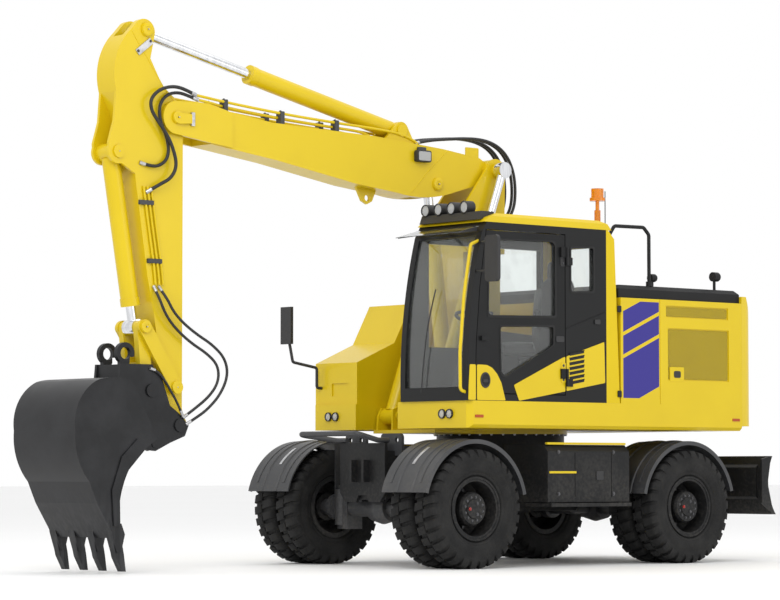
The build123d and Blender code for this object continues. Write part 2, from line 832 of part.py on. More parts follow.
def cab_outline(inset, top):
    """The cab's closed side outline, set in by a wall, up to a height."""
    Polyline((front_low[0] - inset, rear_low[1] + inset * 0.6), (rear_low[0] + inset, rear_low[1] + inset * 0.6))
    Line((rear_low[0] + inset, rear_low[1] + inset * 0.6), (rear_top[0] + inset, rear_top[1]))
    Line((rear_top[0] + inset, rear_top[1]), (rear_top[0] + 80 + inset, top))
    Line((rear_top[0] + 80 + inset, top), (front_top[0] - 60 - inset, top))
    Line((front_top[0] - 60 - inset, top), (front_top[0] - inset, front_top[1]))
    ThreePointArc(
        (front_top[0] - inset, front_top[1]),
        (front_middle[0] - inset, front_middle[1]),
        (front_low[0] - inset, rear_low[1] + inset * 0.6),
    )


screen_low = 1600.0
screen_high = 2940.0
door_front = [(door_rear_x, 1540), (1435, 1540), (1420, 2000), (1378, 2480), (1300, 3000), (door_rear_x, 3000)]
with BuildPart() as cab:
    with BuildSketch(side_plane(side_y)):
        with BuildLine():
            cab_outline(0, roof_joint - seat_gap)
        make_face()
    extrude(amount=side_y - cab_inner_y)
    with BuildSketch(side_plane(side_y - cab_wall)):
        with BuildLine():
            cab_outline(cab_wall, roof_joint + 10)
        make_face()
    extrude(amount=side_y - cab_inner_y - 2 * cab_wall, mode=Mode.SUBTRACT)
    add(outline(door_front, side_y - cab_wall - 5, side_y + 5), mode=Mode.SUBTRACT)
    screen_cut = (1200, cab_inner_y + 65, screen_low)
    add(block(screen_cut, (1700, side_y - 70, screen_high)), mode=Mode.SUBTRACT)
    add(block((cab_rear_x - 50, cab_inner_y + 110, 2480), (-150, side_y - 110, 2920)), mode=Mode.SUBTRACT)
    add(block((-150, cab_inner_y - 10, 1980), (1230, cab_inner_y + cab_wall + 5, 2920)), mode=Mode.SUBTRACT)
    quarter = [(-24, 2493), (262, 2482), (262, 2880), (-24, 2893)]
    add(outline(quarter, side_y - cab_wall - 5, side_y + 5), mode=Mode.SUBTRACT)
    for level in hinge_levels:
        knuckle_top = level - seat_gap
        add(tube((door_rear_x, hinge_y, level - 70), (door_rear_x, hinge_y, knuckle_top), hinge_radius))
        add(block((door_rear_x - 70, side_y - 10, level - 70), (door_rear_x - 5, hinge_y, knuckle_top)))
save(cab.part, "cab_shell")

with BuildPart() as roof:
    with BuildSketch(side_plane(side_y)):
        with BuildLine():
            Polyline((-253, roof_joint), (-205, 3120), (-120, cab_roof), (1150, cab_roof), (1262, 3112))
            Polyline((1262, 3112), (1318, roof_joint), (-253, roof_joint))
        make_face()
    extrude(amount=side_y - cab_inner_y)
    long_edges = roof.edges().filter_by(Axis.X).filter_by(lambda e: e.center().Z > cab_roof - 1)
    chamfer(long_edges, 30)
    add(block((250, cab_inner_y + 180, roof_joint - 1), (850, side_y - 180, cab_roof + 1)), mode=Mode.SUBTRACT)
save(roof.part, "cab_roof")

with BuildPart() as windscreen:
    with BuildSketch(side_plane(side_y - 70)):
        with BuildLine():
            ThreePointArc((1486, screen_low), (1448, 2330), (1331, screen_high))
            Line((1331, screen_high), (1331 + glass_thick, screen_high))
            ThreePointArc(
                (1331 + glass_thick, screen_high),
                (1448 + glass_thick, 2330),
                (1486 + glass_thick, screen_low),
            )
            Line((1486 + glass_thick, screen_low), (1486, screen_low))
        make_face()
    extrude(amount=side_y - 70 - cab_inner_y - 65)
panes = [
    windscreen.part,
    block((-150, cab_inner_y + 26, 1980), (1230, cab_inner_y + 26 + glass_thick, 2920)),
    outline(quarter, side_y - 34, side_y - 34 + glass_thick),
    block((250, cab_inner_y + 180, 3100), (850, side_y - 180, 3100 + glass_thick)),
    block((-292, cab_inner_y + 110, 2480), (-292 + glass_thick, side_y - 110, 2920)),
]
save(Compound(children=panes), "cab_panes")

# Door, one panel with two windows, its hinge halves, handle and panes
door_outline = [
    (door_rear_x + door_gap, 1540 + door_gap),
    (1435 - door_gap, 1540 + door_gap),
    (1420 - door_gap, 2000),
    (1378 - door_gap, 2480),
    (1300 - door_gap, 3000 - door_gap),
    (door_rear_x + door_gap, 3000 - door_gap),
]
upper_window = [(457, 2252), (1272, 2232), (1262, 2850), (1220, 2912), (490, 2925), (457, 2890)]
lower_window = [(480, 1990), (1060, 1700), (1120, 1720), (1130, 2140), (480, 2160)]
with BuildPart() as door:
    add(outline(door_outline, side_y - cab_wall + 8, side_y - 1))
    add(outline(upper_window, side_y - 100, side_y + 5), mode=Mode.SUBTRACT)
    add(outline(lower_window, side_y - 100, side_y + 5), mode=Mode.SUBTRACT)
    for level in hinge_levels:
        add(tube((door_rear_x, hinge_y, level), (door_rear_x, hinge_y, level + 90), hinge_radius))
        add(block((door_rear_x + 5, side_y - 20, level), (door_rear_x + 70, hinge_y, level + 90)))
    add(block((1290, side_y - 2, 2010), (1370, side_y + 26, 2050)))
save(door.part, "door")

door_panes = [
    outline(upper_window, side_y - 32, side_y - 32 + glass_thick),
    outline(lower_window, side_y - 32, side_y - 32 + glass_thick),
]
save(Compound(children=door_panes), "door_panes")

# Seat, consoles, steering column and wheel
cab_inside_floor = cab_floor + cab_wall * 0.6
with BuildPart() as seat:
    add(block((0, 560, cab_inside_floor + seat_gap), (400, 960, 1900)))
    add(block((0, 510, 1900), (520, 1010, 2030)))
    backrest = [(-60, 2010), (70, 2030), (10, 2640), (-70, 2640)]
    add(outline(backrest, 540, 980))
    head = [(-62, 2620), (8, 2620), (-10, 2800), (-70, 2800)]
    add(outline(head, 630, 890))
save(seat.part, "seat")

with BuildPart() as consoles:
    right_console = [(-60, cab_inside_floor + seat_gap), (300, cab_inside_floor + seat_gap), (560, 2060), (520, 2150)]
    right_console += [(-60, 2110)]
    add(outline(right_console, 405, 490))
    add(outline(right_console, 1030, 1110))
    for y in (447, 1070):
        add(tube((500, y, 2100), (530, y, 2290), 16))
        with Locations((532, y, 2300)):
            Sphere(28)
    column = [
        (1130, cab_inside_floor + seat_gap),
        (1290, cab_inside_floor + seat_gap),
        (1040, 2190),
        (985, 2170),
    ]
    add(outline(column, 715, 805))
    with BuildSketch(Plane(origin=(1000, 760, 2215), x_dir=(0, 1, 0), z_dir=(-0.35, 0, 1))):
        Circle(190)
        Circle(165, mode=Mode.SUBTRACT)
        Rectangle(350, 34)
    extrude(amount=22)
    add(tube((1025, 760, 2150), (995, 760, 2225), 36))
save(consoles.part, "consoles_and_wheel")

# Roof lamps on their bracket
with BuildPart() as roof_lamps:
    bracket = [(1150, cab_roof + 0.5), (1262, 3112.5), (1300, 3090), (1330, 3090), (1300, cab_roof + 16), (1150, cab_roof + 16)]
    add(outline(bracket, cab_inner_y + 40, side_y - 60))
    for lamp_y in (430, 605, 780, 955):
        add(tube((1215, lamp_y, 3215), (1300, lamp_y, 3212), 56))
        add(block((1240, lamp_y - 22, cab_roof + 5), (1270, lamp_y + 22, 3180)))
save(roof_lamps.part, "roof_lamps")

# Mirrors on their stalks
with BuildPart() as right_mirror:
    add(block((1555, -1330, 2050), (1585, -1175, 2400)))
    stalk = [
        (tank_front_x + seat_gap, -1150, 1640),
        (1290, -1150, 1640),
        (1290, -1150, 1830),
        (1540, -1200, 1880),
        (1562, -1235, 2100),
    ]
    add(bent_tube(stalk, 14, 25))
save(right_mirror.part, "right_mirror")

with BuildPart() as left_mirror:
    with BuildSketch(Plane.YZ.offset(1395)):
        with Locations((1450, 2725)):
            RectangleRounded(170, 410, 40)
    extrude(amount=34)
    for level, start_x in ((2620, 1405), (2880, 1345)):
        add(tube((start_x, side_y - 20, level), (1410, 1400, level), 12))
    add(cab.part, mode=Mode.SUBTRACT)
save(left_mirror.part, "left_mirror")

with BuildPart() as grab_rail:
    rail = [(1345, 1205, 2900), (1450, 1205, 2860), (1532, 1205, 2400), (1578, 1205, 1900), (1575, 1205, 1570)]
    rail += [(1500, 1205, 1550)]
    add(bent_tube(rail, 15, 40))
    add(cab.part, mode=Mode.SUBTRACT)
save(grab_rail.part, "grab_rail")

# Hand rail on the hood, with its beacon and camera posts
with BuildPart() as handrail:
    rail = [
        (-320, 1150, 3040),
        (-380, 1150, 3120),
        (-760, 1150, 3125),
        (-830, 1150, 3060),
        (-831, 1150, rail_high + seat_gap),
    ]
    add(bent_tube(rail, 17, 45))
    add(tube((-831, 1150, rail_high + seat_gap), (-831, 1150, rail_high + 45), 30))
    add(tube((-921, 1100, rail_high + seat_gap), (-921, 1100, rail_high + 60), 14))
    add(tube((-950, 1100, rail_high + 85), (-890, 1100, rail_high + 85), 38))
    add(tube((-1760, 1100, rail_high + seat_gap), (-1760, 1100, rail_high + 100), 14))
    add(tube((-1800, 1100, rail_high + 130), (-1735, 1100, rail_high + 130), 45))
save(handrail.part, "hand_rail_and_rear_lamps")

with BuildPart() as beacon:
    add(block((-330, 980, cab_roof - 20), (-290, 1020, cab_roof + 120)))
    add(block((-330, 980, cab_roof - 100), (-253.6, 1020, cab_roof - 20)))
    add(tube((-310, 1000, cab_roof + 110), (-310, 1000, cab_roof + 210), 18))
    add(tube((-310, 1000, cab_roof + 205), (-310, 1000, cab_roof + 235), 72))
    add(tube((-310, 1000, cab_roof + 230), (-310, 1000, cab_roof + 320), 58))
save(beacon.part, "beacon")

# Lower boom: box with foot boss, top fork and the adjusting cylinder's lugs
with BuildPart() as lower_boom:
    with BuildSketch(side_plane(boom_y + boom_half)):
        with BuildLine():
            Polyline((foot[0] - 100, foot[1] + 60), (hinge[0] - 100, 2200), (hinge[0] - 100, 3380), (330, 3380))
            Polyline((330, 3380), (450, 3285), (450, 2150))
            ThreePointArc((450, 2150), (438, 1920), (380, foot[1] + 60))
            Polyline((380, foot[1] + 60), (foot[0] + 90, foot[1] - 60), (foot[0] - 100, foot[1] + 60))
        make_face()
    extrude(amount=2 * boom_half)
    add(boss(foot, 125, boom_y - fork_inner + side_clear, boom_y + fork_inner - side_clear))
    for low, high in pair(boom_y, fork_inner, cheek_outer):
        with BuildSketch(side_plane(high)):
            with BuildLine():
                Polyline((450, 2900), (hinge[0] - 100, 2900), (hinge[0] - 115, hinge[1]))
                ThreePointArc((hinge[0] - 115, hinge[1]), (hinge[0], hinge[1] + 115), (hinge[0] + 110, hinge[1] + 30))
                Polyline((hinge[0] + 110, hinge[1] + 30), (460, 3370), (450, 2900))
            make_face()
        extrude(amount=fork_plate)
    for low, high in pair(boom_y, 140, cheek_outer):
        add(block((hinge[0] - 100, low, 2900), (450, high, 3270)))
    for low, high in pair(boom_y, 60, fork_inner):
        add(boss(hinge, pin_radius, low, high))
    for low, high in pair(boom_y, cheek_outer, lift_offset - 45 - side_clear):
        add(boss(hinge, 60, low, high))
    for low, high in pair(boom_y, adjust_lug, adjust_lug + lug_plate):
        lug = [
            (420, 1930),
            (adjust_foot[0] - 60, adjust_foot[1] - 80),
            (adjust_foot[0] + 50, adjust_foot[1] - 70),
            (adjust_foot[0] + 80, adjust_foot[1] + 20),
            (adjust_foot[0] + 30, adjust_foot[1] + 80),
            (430, 2150),
        ]
        add(outline(lug, low, high))
        add(boss(adjust_foot, pin_radius + run_clearance, low, high), mode=Mode.SUBTRACT)
    add(boss(foot, pin_radius + run_clearance, boom_y - 300, boom_y + 300), mode=Mode.SUBTRACT)
save(lower_boom.part, "lower_boom")

# Upper boom: curved box, tail boss between the fork plates, nose fork for the arm
with BuildPart() as upper_boom:
    with BuildSketch(side_plane(boom_y + boom_half)):
        with BuildLine():
            Polyline((130, 3600), (130, 3740), (247, 3798), (706, 3853), (1518, 3914), (2716, 3950), (3400, 4034))
            Polyline((3400, 4034), (3400, 3712), (2663, 3616), (1762, 3466), (1254, 3410))
            ThreePointArc((1254, 3410), (930, 3388), (604, 3442))
            Polyline((604, 3442), (252, 3545), (130, 3600))
        make_face()
    extrude(amount=2 * boom_half)
    add(boss(hinge, 110, boom_y - fork_inner + side_clear, boom_y + fork_inner - side_clear))
    add(boss(hinge, pin_radius + run_clearance, boom_y - 300, boom_y + 300), mode=Mode.SUBTRACT)
    nose_inner = arm_half + arm_gap
    for low, high in pair(boom_y, nose_inner, nose_inner + nose_plate):
        cheek = [
            (3180, 3690),
            (3460, 3724),
            (arm_pin[0], arm_pin[1] - 145),
            (arm_pin[0], arm_pin[1] + 145),
            (3446, 4062),
            (3180, 4000),
        ]
        add(outline(cheek, low, high))
        add(boss(arm_pin, 145, low, high))
    for low, high in pair(boom_y, nose_inner + nose_plate, nose_inner + nose_plate + 18):
        add(boss(arm_pin, 56, low, high))
    for low, high in pair(boom_y, 60, nose_inner):
        add(boss(arm_pin, pin_radius, low, high))
    for low, high in pair(boom_y, arm_lug, arm_lug + lug_plate):
        lug = [
            (arm_base[0] - 170, 3860),
            (arm_base[0] - 70, arm_base[1] + 40),
            (arm_base[0] + 70, arm_base[1] + 40),
            (arm_base[0] + 240, 3860),
        ]
        add(outline(lug, low, high))
        add(boss(arm_base, 80, low, high))
    add(boss(arm_base, pin_radius + run_clearance, boom_y - 130, boom_y + 130), mode=Mode.SUBTRACT)
    for low, high in pair(boom_y, boom_half, boom_half + 14):
        add(boss(adjust_eye, 62, low, high))
    lifting_eye = [(1400, 3440), (1450, 3330), (1510, 3300), (1570, 3330), (1640, 3460)]
    add(outline(lifting_eye, boom_y - 15, boom_y + 15))
    add(boss((1508, 3358), 30, boom_y - 20, boom_y + 20), mode=Mode.SUBTRACT)
    add(block((480, boom_y - 78, 3300), (1040, boom_y + 78, 3700)), mode=Mode.SUBTRACT)
save(upper_boom.part, "upper_boom")

# Arm: closed box, head with the rod's slot, ears for the bucket cylinder
tip_half = coupler_half - coupler_plate - side_clear
with BuildPart() as arm:
    with BuildSketch(side_plane(boom_y + arm_half)):
        with BuildLine():
            Polyline((3690, 1402), (3690, 3760), (3650, 3850), (3650, 3980), (3750, 4060), (3915, 4190), (4040, 4410))
            Polyline((4040, 4410), (3995, 4620))
            ThreePointArc((3995, 4620), (4060, 4738), (4185, 4712))
            Line((4185, 4712), (4250, 4640))
            ThreePointArc((4250, 4640), (4385, 4440), (4395, 4100))
            Polyline((4395, 4100), (4230, 3760), (4190, 3350), (4060, 2520), (3990, 2200), (3870, 1420), (3858, 1252))
            Polyline((3858, 1252), (3662, 1252), (3690, 1402))
        make_face()
    extrude(amount=2 * arm_half)
    add(boss(bucket_pin, 100, boom_y - tip_half, boom_y + tip_half))
    add(boss(bucket_pin, pin_radius + run_clearance, boom_y - tip_half, boom_y + tip_half), mode=Mode.SUBTRACT)
    nose_fit = nose_inner - side_clear
    add(boss(arm_pin, 135, boom_y - nose_fit, boom_y + nose_fit))
    add(boss(arm_pin, pin_radius + run_clearance, boom_y - 200, boom_y + 200), mode=Mode.SUBTRACT)
    for low, high in pair(boom_y, arm_half, lever_inner - side_clear):
        add(boss(lever_pin, 68, low, high))
    add(pin(lever_pin, boom_y, lever_inner + lever_plate + side_clear))
    for low, high in pair(boom_y, ear_inner, arm_half):
        ear = [(4150, 3380), (4300, 4120), (4395, 4110), (4415, 3850), (4470, 3660), (4460, 3530), (4330, 3482)]
        add(outline(ear, low, high))
        add(boss(bucket_base, 105, low, high))
        add(boss(bucket_base, pin_radius + run_clearance, low, high), mode=Mode.SUBTRACT)
    for low, high in pair(boom_y, arm_half, arm_half + cap_height):
        add(boss(arm_eye, 62, low, high))
    add(block((3900, boom_y - slot_half, 4430), (4290, boom_y + slot_half, 4900)), mode=Mode.SUBTRACT)
save(arm.part, "arm")


# Cylinders of the boom, arm and bucket
def lift_barrel(side):
    """A lift cylinder's barrel with its foot pin."""
    y = boom_y + side * lift_offset
    eye_half = lift_offset - cheek_outer - side_clear
    body = barrel(lift_foot, hinge, y, lift_radius, lift_rod_radius, 1340, eye_half)
    return body + pin(lift_foot, y, eye_half + clevis_plate + 2 * side_clear)


def lift_rod(side):
    """A lift cylinder's rod."""
    return rod(lift_foot, hinge, boom_y + side * lift_offset, lift_rod_radius, 1200, 75, 45)


save(both(lift_barrel), "lift_barrels")
save(both(lift_rod), "lift_rods")

adjust_fit = adjust_lug - side_clear
adjust_body = barrel(adjust_foot, adjust_eye, boom_y, adjust_radius, adjust_rod_radius, 1320, adjust_fit)
save(adjust_body + pin(adjust_foot, boom_y, adjust_lug + lug_plate + side_clear), "adjust_barrel")
save(rod(adjust_foot, adjust_eye, boom_y, adjust_rod_radius, 500, 68, 77.5), "adjust_rod")

arm_body = barrel(arm_base, arm_eye, boom_y, arm_cyl_radius, arm_rod_radius, 1740, arm_lug - side_clear)
save(arm_body + pin(arm_base, boom_y, arm_lug + lug_plate + side_clear), "arm_barrel")
save(rod(arm_base, arm_eye, boom_y, arm_rod_radius, 1350, 78, slot_half - side_clear), "arm_rod")

ear_fit = ear_inner - side_clear
bucket_body = barrel(bucket_base, bucket_eye, boom_y, bucket_cyl_radius, bucket_rod_radius, 1330, ear_fit)
save(bucket_body + pin(bucket_base, boom_y, arm_half + side_clear), "bucket_barrel")
save(rod(bucket_base, bucket_eye, boom_y, bucket_rod_radius, 250, 70, link_inner - side_clear), "bucket_rod")


def lever(side):
    """A tilt lever beside the arm, with the stub that carries the link."""
    inner = boom_y + side * lever_inner
    outer = boom_y + side * (lever_inner + lever_plate)
    with BuildPart() as piece:
        add(strap(lever_pin, bucket_eye, 130, inner, outer))
        add(boss(lever_pin, pin_radius + run_clearance, inner, outer), mode=Mode.SUBTRACT)
        add(boss(bucket_eye, pin_radius, boom_y + side * (link_inner + 1), inner))
        add(boss(bucket_eye, pin_radius + 16, outer, outer + side * cap_height))
    return piece.part


save(both(lever), "tilt_levers")

with BuildPart() as link:
    for low, high in pair(boom_y, link_inner, lever_inner - side_clear):
        add(strap(bucket_eye, link_pin, 115, low, high))
        add(boss(bucket_eye, pin_radius + run_clearance, low, high), mode=Mode.SUBTRACT)
    add(block((4035, boom_y - 100, 1650), (4115, boom_y + 100, 1790)))
    add(boss(link_pin, 52, boom_y - tip_half, boom_y + tip_half))
save(link.part, "bucket_link")

# Quick coupler: two plates with the bucket's pins through them, cross pieces and two lifting hooks
with BuildPart() as coupler:
    for low, high in pair(boom_y, coupler_half - coupler_plate, coupler_half):
        plate = [
            (4380, 1770),
            (4050, 1770),
            (3940, 1640),
            (3860, 1420),
            (3760, 1352),
            (3660, 1252),
            (3700, 1160),
            (3860, 1100),
            (4010, 1030),
            (4120, 1040),
            (4200, 1180),
            (4400, 1560),
        ]
        add(outline(plate, low, high))
    add(block((4250, boom_y - 170, 1650), (4370, boom_y + 170, 1765)))
    add(boss((4045, 1350), 42, boom_y - 170, boom_y + 170))
    for low, high in pair(boom_y, 60, coupler_half - coupler_plate):
        add(boss(bucket_pin, pin_radius, low, high))
    for low, high in pair(boom_y, coupler_half, coupler_half + cap_height):
        add(boss(bucket_pin, 56, low, high))
        add(boss(link_pin, 56, low, high))
    for centre in bucket_pins:
        add(boss(centre, bucket_pin_radius + run_clearance, boom_y - 200, boom_y + 200), mode=Mode.SUBTRACT)
    for side in (1, -1):
        hook_y = boom_y + side * 128
        with BuildSketch(side_plane(hook_y + 22)):
            with Locations((4300, 1862)):
                Circle(92)
                Circle(52, mode=Mode.SUBTRACT)
            with Locations((4308, 1780)):
                Rectangle(92, 50)
            with Locations((4222, 1800)):
                Rectangle(70, 62, mode=Mode.SUBTRACT)
        extrude(amount=44)
save(coupler.part, "quick_coupler")

# Bucket: rolled shell with side plates, ears for the coupler's pins, edge pads and teeth
back_low = (4190, 1130)
back_top = (4410, 1560)
heel = (4470, 1618)
with BuildPart() as bucket:
    with BuildSketch(side_plane(boom_y + bucket_half)):
        with BuildLine():
            Line(back_top, heel)
            ThreePointArc(heel, (4640, 1642), (4800, 1618))
            ThreePointArc((4800, 1618), (4962, 1480), (5024, 1200))
            ThreePointArc((5024, 1200), (4990, 950), (4880, 770))
            Polyline((4880, 770), (4800, 590), (4620, 300), (4560, 310))
            ThreePointArc((4560, 310), (4570, 610), (4480, 870))
            Polyline((4480, 870), (4300, 1053), back_low, back_top)
        make_face()
    extrude(amount=2 * bucket_half)
    with BuildSketch(side_plane(boom_y + bucket_half - side_wall)):
        with BuildLine():
            Line((back_top[0] + 20, back_top[1] - 4), (heel[0] + 6, heel[1] - bucket_shell - 4))
            ThreePointArc((heel[0] + 6, heel[1] - bucket_shell - 4), (4640, 1624), (4792, 1600))
            ThreePointArc((4792, 1600), (4945, 1470), (5006, 1200))
            ThreePointArc((5006, 1200), (4973, 955), (4864, 778))
            Polyline((4864, 778), (4785, 598), (4595, 290), (4000, 290), (4000, 1250), (4212, 1112))
            Line((4212, 1112), (back_top[0] + 20, back_top[1] - 4))
        make_face()
    extrude(amount=2 * (bucket_half - side_wall), mode=Mode.SUBTRACT)
    for low, high in pair(boom_y, 118, 150):
        ear = [
            (4412, 1560),
            (4370, 1590),
            (4270, 1580),
            (4250, 1480),
            (4150, 1200),
            (3970, 1140),
            (3960, 1060),
            (4060, 1030),
            (4195, 1118),
        ]
        add(outline(ear, low, high))
    for centre in bucket_pins:
        add(boss(centre, bucket_pin_radius, boom_y - coupler_half - 8, boom_y + coupler_half + 8))
    for low, high in pair(boom_y, bucket_half, bucket_half + 14):
        pad = [(4330, 1040), (4500, 880), (4580, 640), (4575, 400), (4640, 400), (4660, 700), (4560, 980), (4400, 1130)]
        add(outline(pad, low, high))
    for index in range(tooth_count):
        pitch = (2 * bucket_half - tooth_width - 20) / (tooth_count - 1)
        tooth_y = boom_y + (index - (tooth_count - 1) / 2) * pitch
        adapter = [(4675, 450), (4650, 330), (4600, 180), (4555, 190), (4520, 330), (4556, 420)]
        add(outline(adapter, tooth_y - 48, tooth_y + 48))
        tip = [(4630, 270), (4600, 140), (4535, 20), (4500, 20), (4520, 160), (4545, 280)]
        add(outline(tip, tooth_y - tooth_width / 2, tooth_y + tooth_width / 2))
save(bucket.part, "bucket")
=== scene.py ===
import bpy
import json
from math import cos, pi, radians, sin, tau
from mathutils import Matrix, Vector


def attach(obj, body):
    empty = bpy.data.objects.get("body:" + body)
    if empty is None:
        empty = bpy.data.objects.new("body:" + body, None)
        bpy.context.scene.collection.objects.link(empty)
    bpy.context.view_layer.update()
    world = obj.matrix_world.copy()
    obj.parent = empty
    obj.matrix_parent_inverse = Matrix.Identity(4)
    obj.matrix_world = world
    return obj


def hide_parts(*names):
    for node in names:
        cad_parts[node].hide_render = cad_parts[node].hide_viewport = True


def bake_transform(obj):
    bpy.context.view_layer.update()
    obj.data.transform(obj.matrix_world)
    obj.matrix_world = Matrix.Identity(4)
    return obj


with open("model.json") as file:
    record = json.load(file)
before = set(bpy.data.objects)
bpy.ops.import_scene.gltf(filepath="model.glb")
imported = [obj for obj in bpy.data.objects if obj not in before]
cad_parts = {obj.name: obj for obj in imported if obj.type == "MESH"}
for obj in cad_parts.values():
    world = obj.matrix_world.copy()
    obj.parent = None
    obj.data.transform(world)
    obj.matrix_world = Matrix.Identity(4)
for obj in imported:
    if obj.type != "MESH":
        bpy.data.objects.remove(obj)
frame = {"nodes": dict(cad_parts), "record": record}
bpy.ops.object.select_all(action="DESELECT")
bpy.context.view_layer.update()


# Shader wires and finishes
class Wire:
    """One output of a shader node, which adds a Math node for each sum or product."""

    def __init__(self, finish, socket):
        self.finish = finish
        self.socket = socket

    def join(self, operation, first, second):
        return self.finish.node("ShaderNodeMath", {"operation": operation}, {0: first, 1: second})

    def __add__(self, other):
        return self.join("ADD", self, other)

    def __radd__(self, other):
        return self.join("ADD", other, self)

    def __sub__(self, other):
        return self.join("SUBTRACT", self, other)

    def __rsub__(self, other):
        return self.join("SUBTRACT", other, self)

    def __mul__(self, other):
        return self.join("MULTIPLY", self, other)

    def __truediv__(self, other):
        return self.join("DIVIDE", self, other)

    def __gt__(self, other):
        return self.join("GREATER_THAN", self, other)

    def __lt__(self, other):
        return self.join("LESS_THAN", self, other)

    def fraction(self):
        return self.join("FRACT", self, 0)

    def size(self):
        return self.join("ABSOLUTE", self, 0)


class Finish:
    """A procedural material with one Principled shader, built on Object coordinates."""

    def __init__(self, name, **constants):
        self.name = name
        self.material = bpy.data.materials.new(name)
        self.material.use_nodes = True
        self.tree = self.material.node_tree
        self.shader = self.tree.nodes["Principled BSDF"]
        self.place = self.node("ShaderNodeTexCoord", {}, {}, "Object")
        split = self.tree.nodes.new("ShaderNodeSeparateXYZ")
        self.tree.links.new(self.place.socket, split.inputs[0])
        self.x, self.y, self.z = [Wire(self, split.outputs[i]) for i in range(3)]
        for socket, value in constants.items():
            self.shader.inputs[socket.replace("_", " ")].default_value = value

    def node(self, kind, settings, sockets, output=0):
        """Adds a node of a kind, makes its settings, then its values and links, and returns one output."""
        made = self.tree.nodes.new(kind)
        for key, value in settings.items():
            setattr(made, key, value)
        for key, value in sockets.items():
            if isinstance(value, Wire):
                self.tree.links.new(value.socket, made.inputs[key])
            else:
                made.inputs[key].default_value = value
        return Wire(self, made.outputs[output])

    def noise(self, scale, detail=3.0, roughness=0.5, stretch=None):
        """Noise between 0 and 1, finer with a larger scale, drawn out along an axis by stretch."""
        place = self.place
        if stretch:
            place = self.node("ShaderNodeMapping", {}, {"Vector": place, "Scale": stretch})
        return self.node(
            "ShaderNodeTexNoise",
            {"noise_dimensions": "3D"},
            {"Vector": place, "Scale": scale, "Detail": detail, "Roughness": roughness},
            "Fac",
        )

    def spread(self, value, low, high):
        """Stretches a value so that low becomes 0 and high becomes 1."""
        limits = {"Value": value, "From Min": low, "From Max": high}
        return self.node("ShaderNodeMapRange", {"clamp": True}, limits)

    def mix(self, first, second, factor):
        """A colour between two, by a factor. A colour mix has its inputs at 6 and 7 and its output at 2."""
        mixed = self.tree.nodes.new("ShaderNodeMix")
        mixed.data_type = "RGBA"
        for index, value in ((6, first), (7, second), (0, factor)):
            if isinstance(value, Wire):
                self.tree.links.new(value.socket, mixed.inputs[index])
            else:
                mixed.inputs[index].default_value = value
        return Wire(self, mixed.outputs[2])

    def set(self, socket, value):
        """Links a value to the shader."""
        self.tree.links.new(value.socket, self.shader.inputs[socket])

    def bump(self, height, strength, depth):
        """Turns a height into a normal on the shader."""
        bumped = {"Height": height, "Strength": strength, "Distance": depth}
        self.set("Normal", self.node("ShaderNodeBump", {}, bumped, "Normal"))


def rgb(red, green, blue):
    """A colour with full alpha."""
    return (red, green, blue, 1.0)


yellow = rgb(0.665, 0.485, 0.005)
yellow_shade = rgb(0.61, 0.435, 0.004)
charcoal = rgb(0.036, 0.037, 0.040)
charcoal_shade = rgb(0.054, 0.055, 0.058)
cab_black = rgb(0.0085, 0.0088, 0.0092)
cab_black_shade = rgb(0.014, 0.0143, 0.0148)
frame_black = rgb(0.013, 0.0133, 0.014)
frame_shade = rgb(0.019, 0.0192, 0.020)
stripe_blue = rgb(0.030, 0.022, 0.230)


def machine_paint(name, colour, shade, roughness, dust=0.0, coat=0.3, shine=0.5, second=()):
    """Sprayed paint, slightly mottled, with dust low down and a second colour where its mask says."""
    gloss = {"Coat_Roughness": 0.12, "Coat_Weight": coat, "Specular_IOR_Level": shine}
    paint = Finish(name, Metallic=0.0, IOR=1.45, **gloss)
    cloud = paint.noise(1.7, 4.0)
    speck = paint.noise(38.0, 3.0)
    base = paint.mix(colour, shade, paint.spread(cloud, 0.42, 0.72) * 0.55)
    if second:
        colour_there, where = second
        base = paint.mix(base, colour_there, where(paint))
    low = (1.0 - paint.spread(paint.z, 0.1, 1.3)) * paint.spread(speck * 0.5 + cloud * 0.5, 0.45, 0.65)
    paint.set("Base Color", paint.mix(base, rgb(0.24, 0.22, 0.19), low * dust))
    paint.set("Roughness", roughness + (speck - 0.5) * 0.14 + low * dust * 0.5)
    paint.bump(paint.noise(420.0, 2.0), 0.05, 0.0006)
    return paint


def cab_dark_part(paint):
    """The cab's dark panels: all but the rear pillar."""
    return paint.x > -0.185


def hood_stripes(paint):
    """Three slanting bands on both sides of the hood, between two upright lines."""
    slant = paint.z + paint.x * 0.43
    bands = (slant > 1.965) * (slant < 2.157) * (paint.z > 0.0)
    bands = bands + (slant > 1.757) * (slant < 1.93)
    bands = bands + (slant > 1.27) * (slant < 1.722) * (paint.z > 1.53)
    ends = (paint.x > -0.868) * (paint.x < -0.400) * (paint.z < 2.425)
    return bands * ends * (paint.y.size() > 1.236)


def worn_casting():
    """Yellow paint over a rough casting."""
    paint = machine_paint("cast_paint", yellow, yellow_shade, 0.36)
    paint.bump(paint.noise(90.0, 4.0, 0.6), 0.10, 0.0012)
    return paint


def tyre_rubber():
    """Black rubber with dust in its grain."""
    rubber = Finish("tyre_rubber", Metallic=0.0, IOR=1.5, Specular_IOR_Level=0.22)
    grain = rubber.noise(60.0, 5.0, 0.65)
    cloud = rubber.noise(6.0, 3.0)
    dusty = rubber.spread(grain * 0.5 + cloud * 0.5, 0.4, 0.7)
    rubber.set("Base Color", rubber.mix(rgb(0.0085, 0.0085, 0.0088), rgb(0.026, 0.0255, 0.0245), dusty))
    rubber.set("Roughness", 0.72 + (grain - 0.5) * 0.25)
    rubber.bump(rubber.noise(260.0, 4.0, 0.7), 0.25, 0.0015)
    return rubber


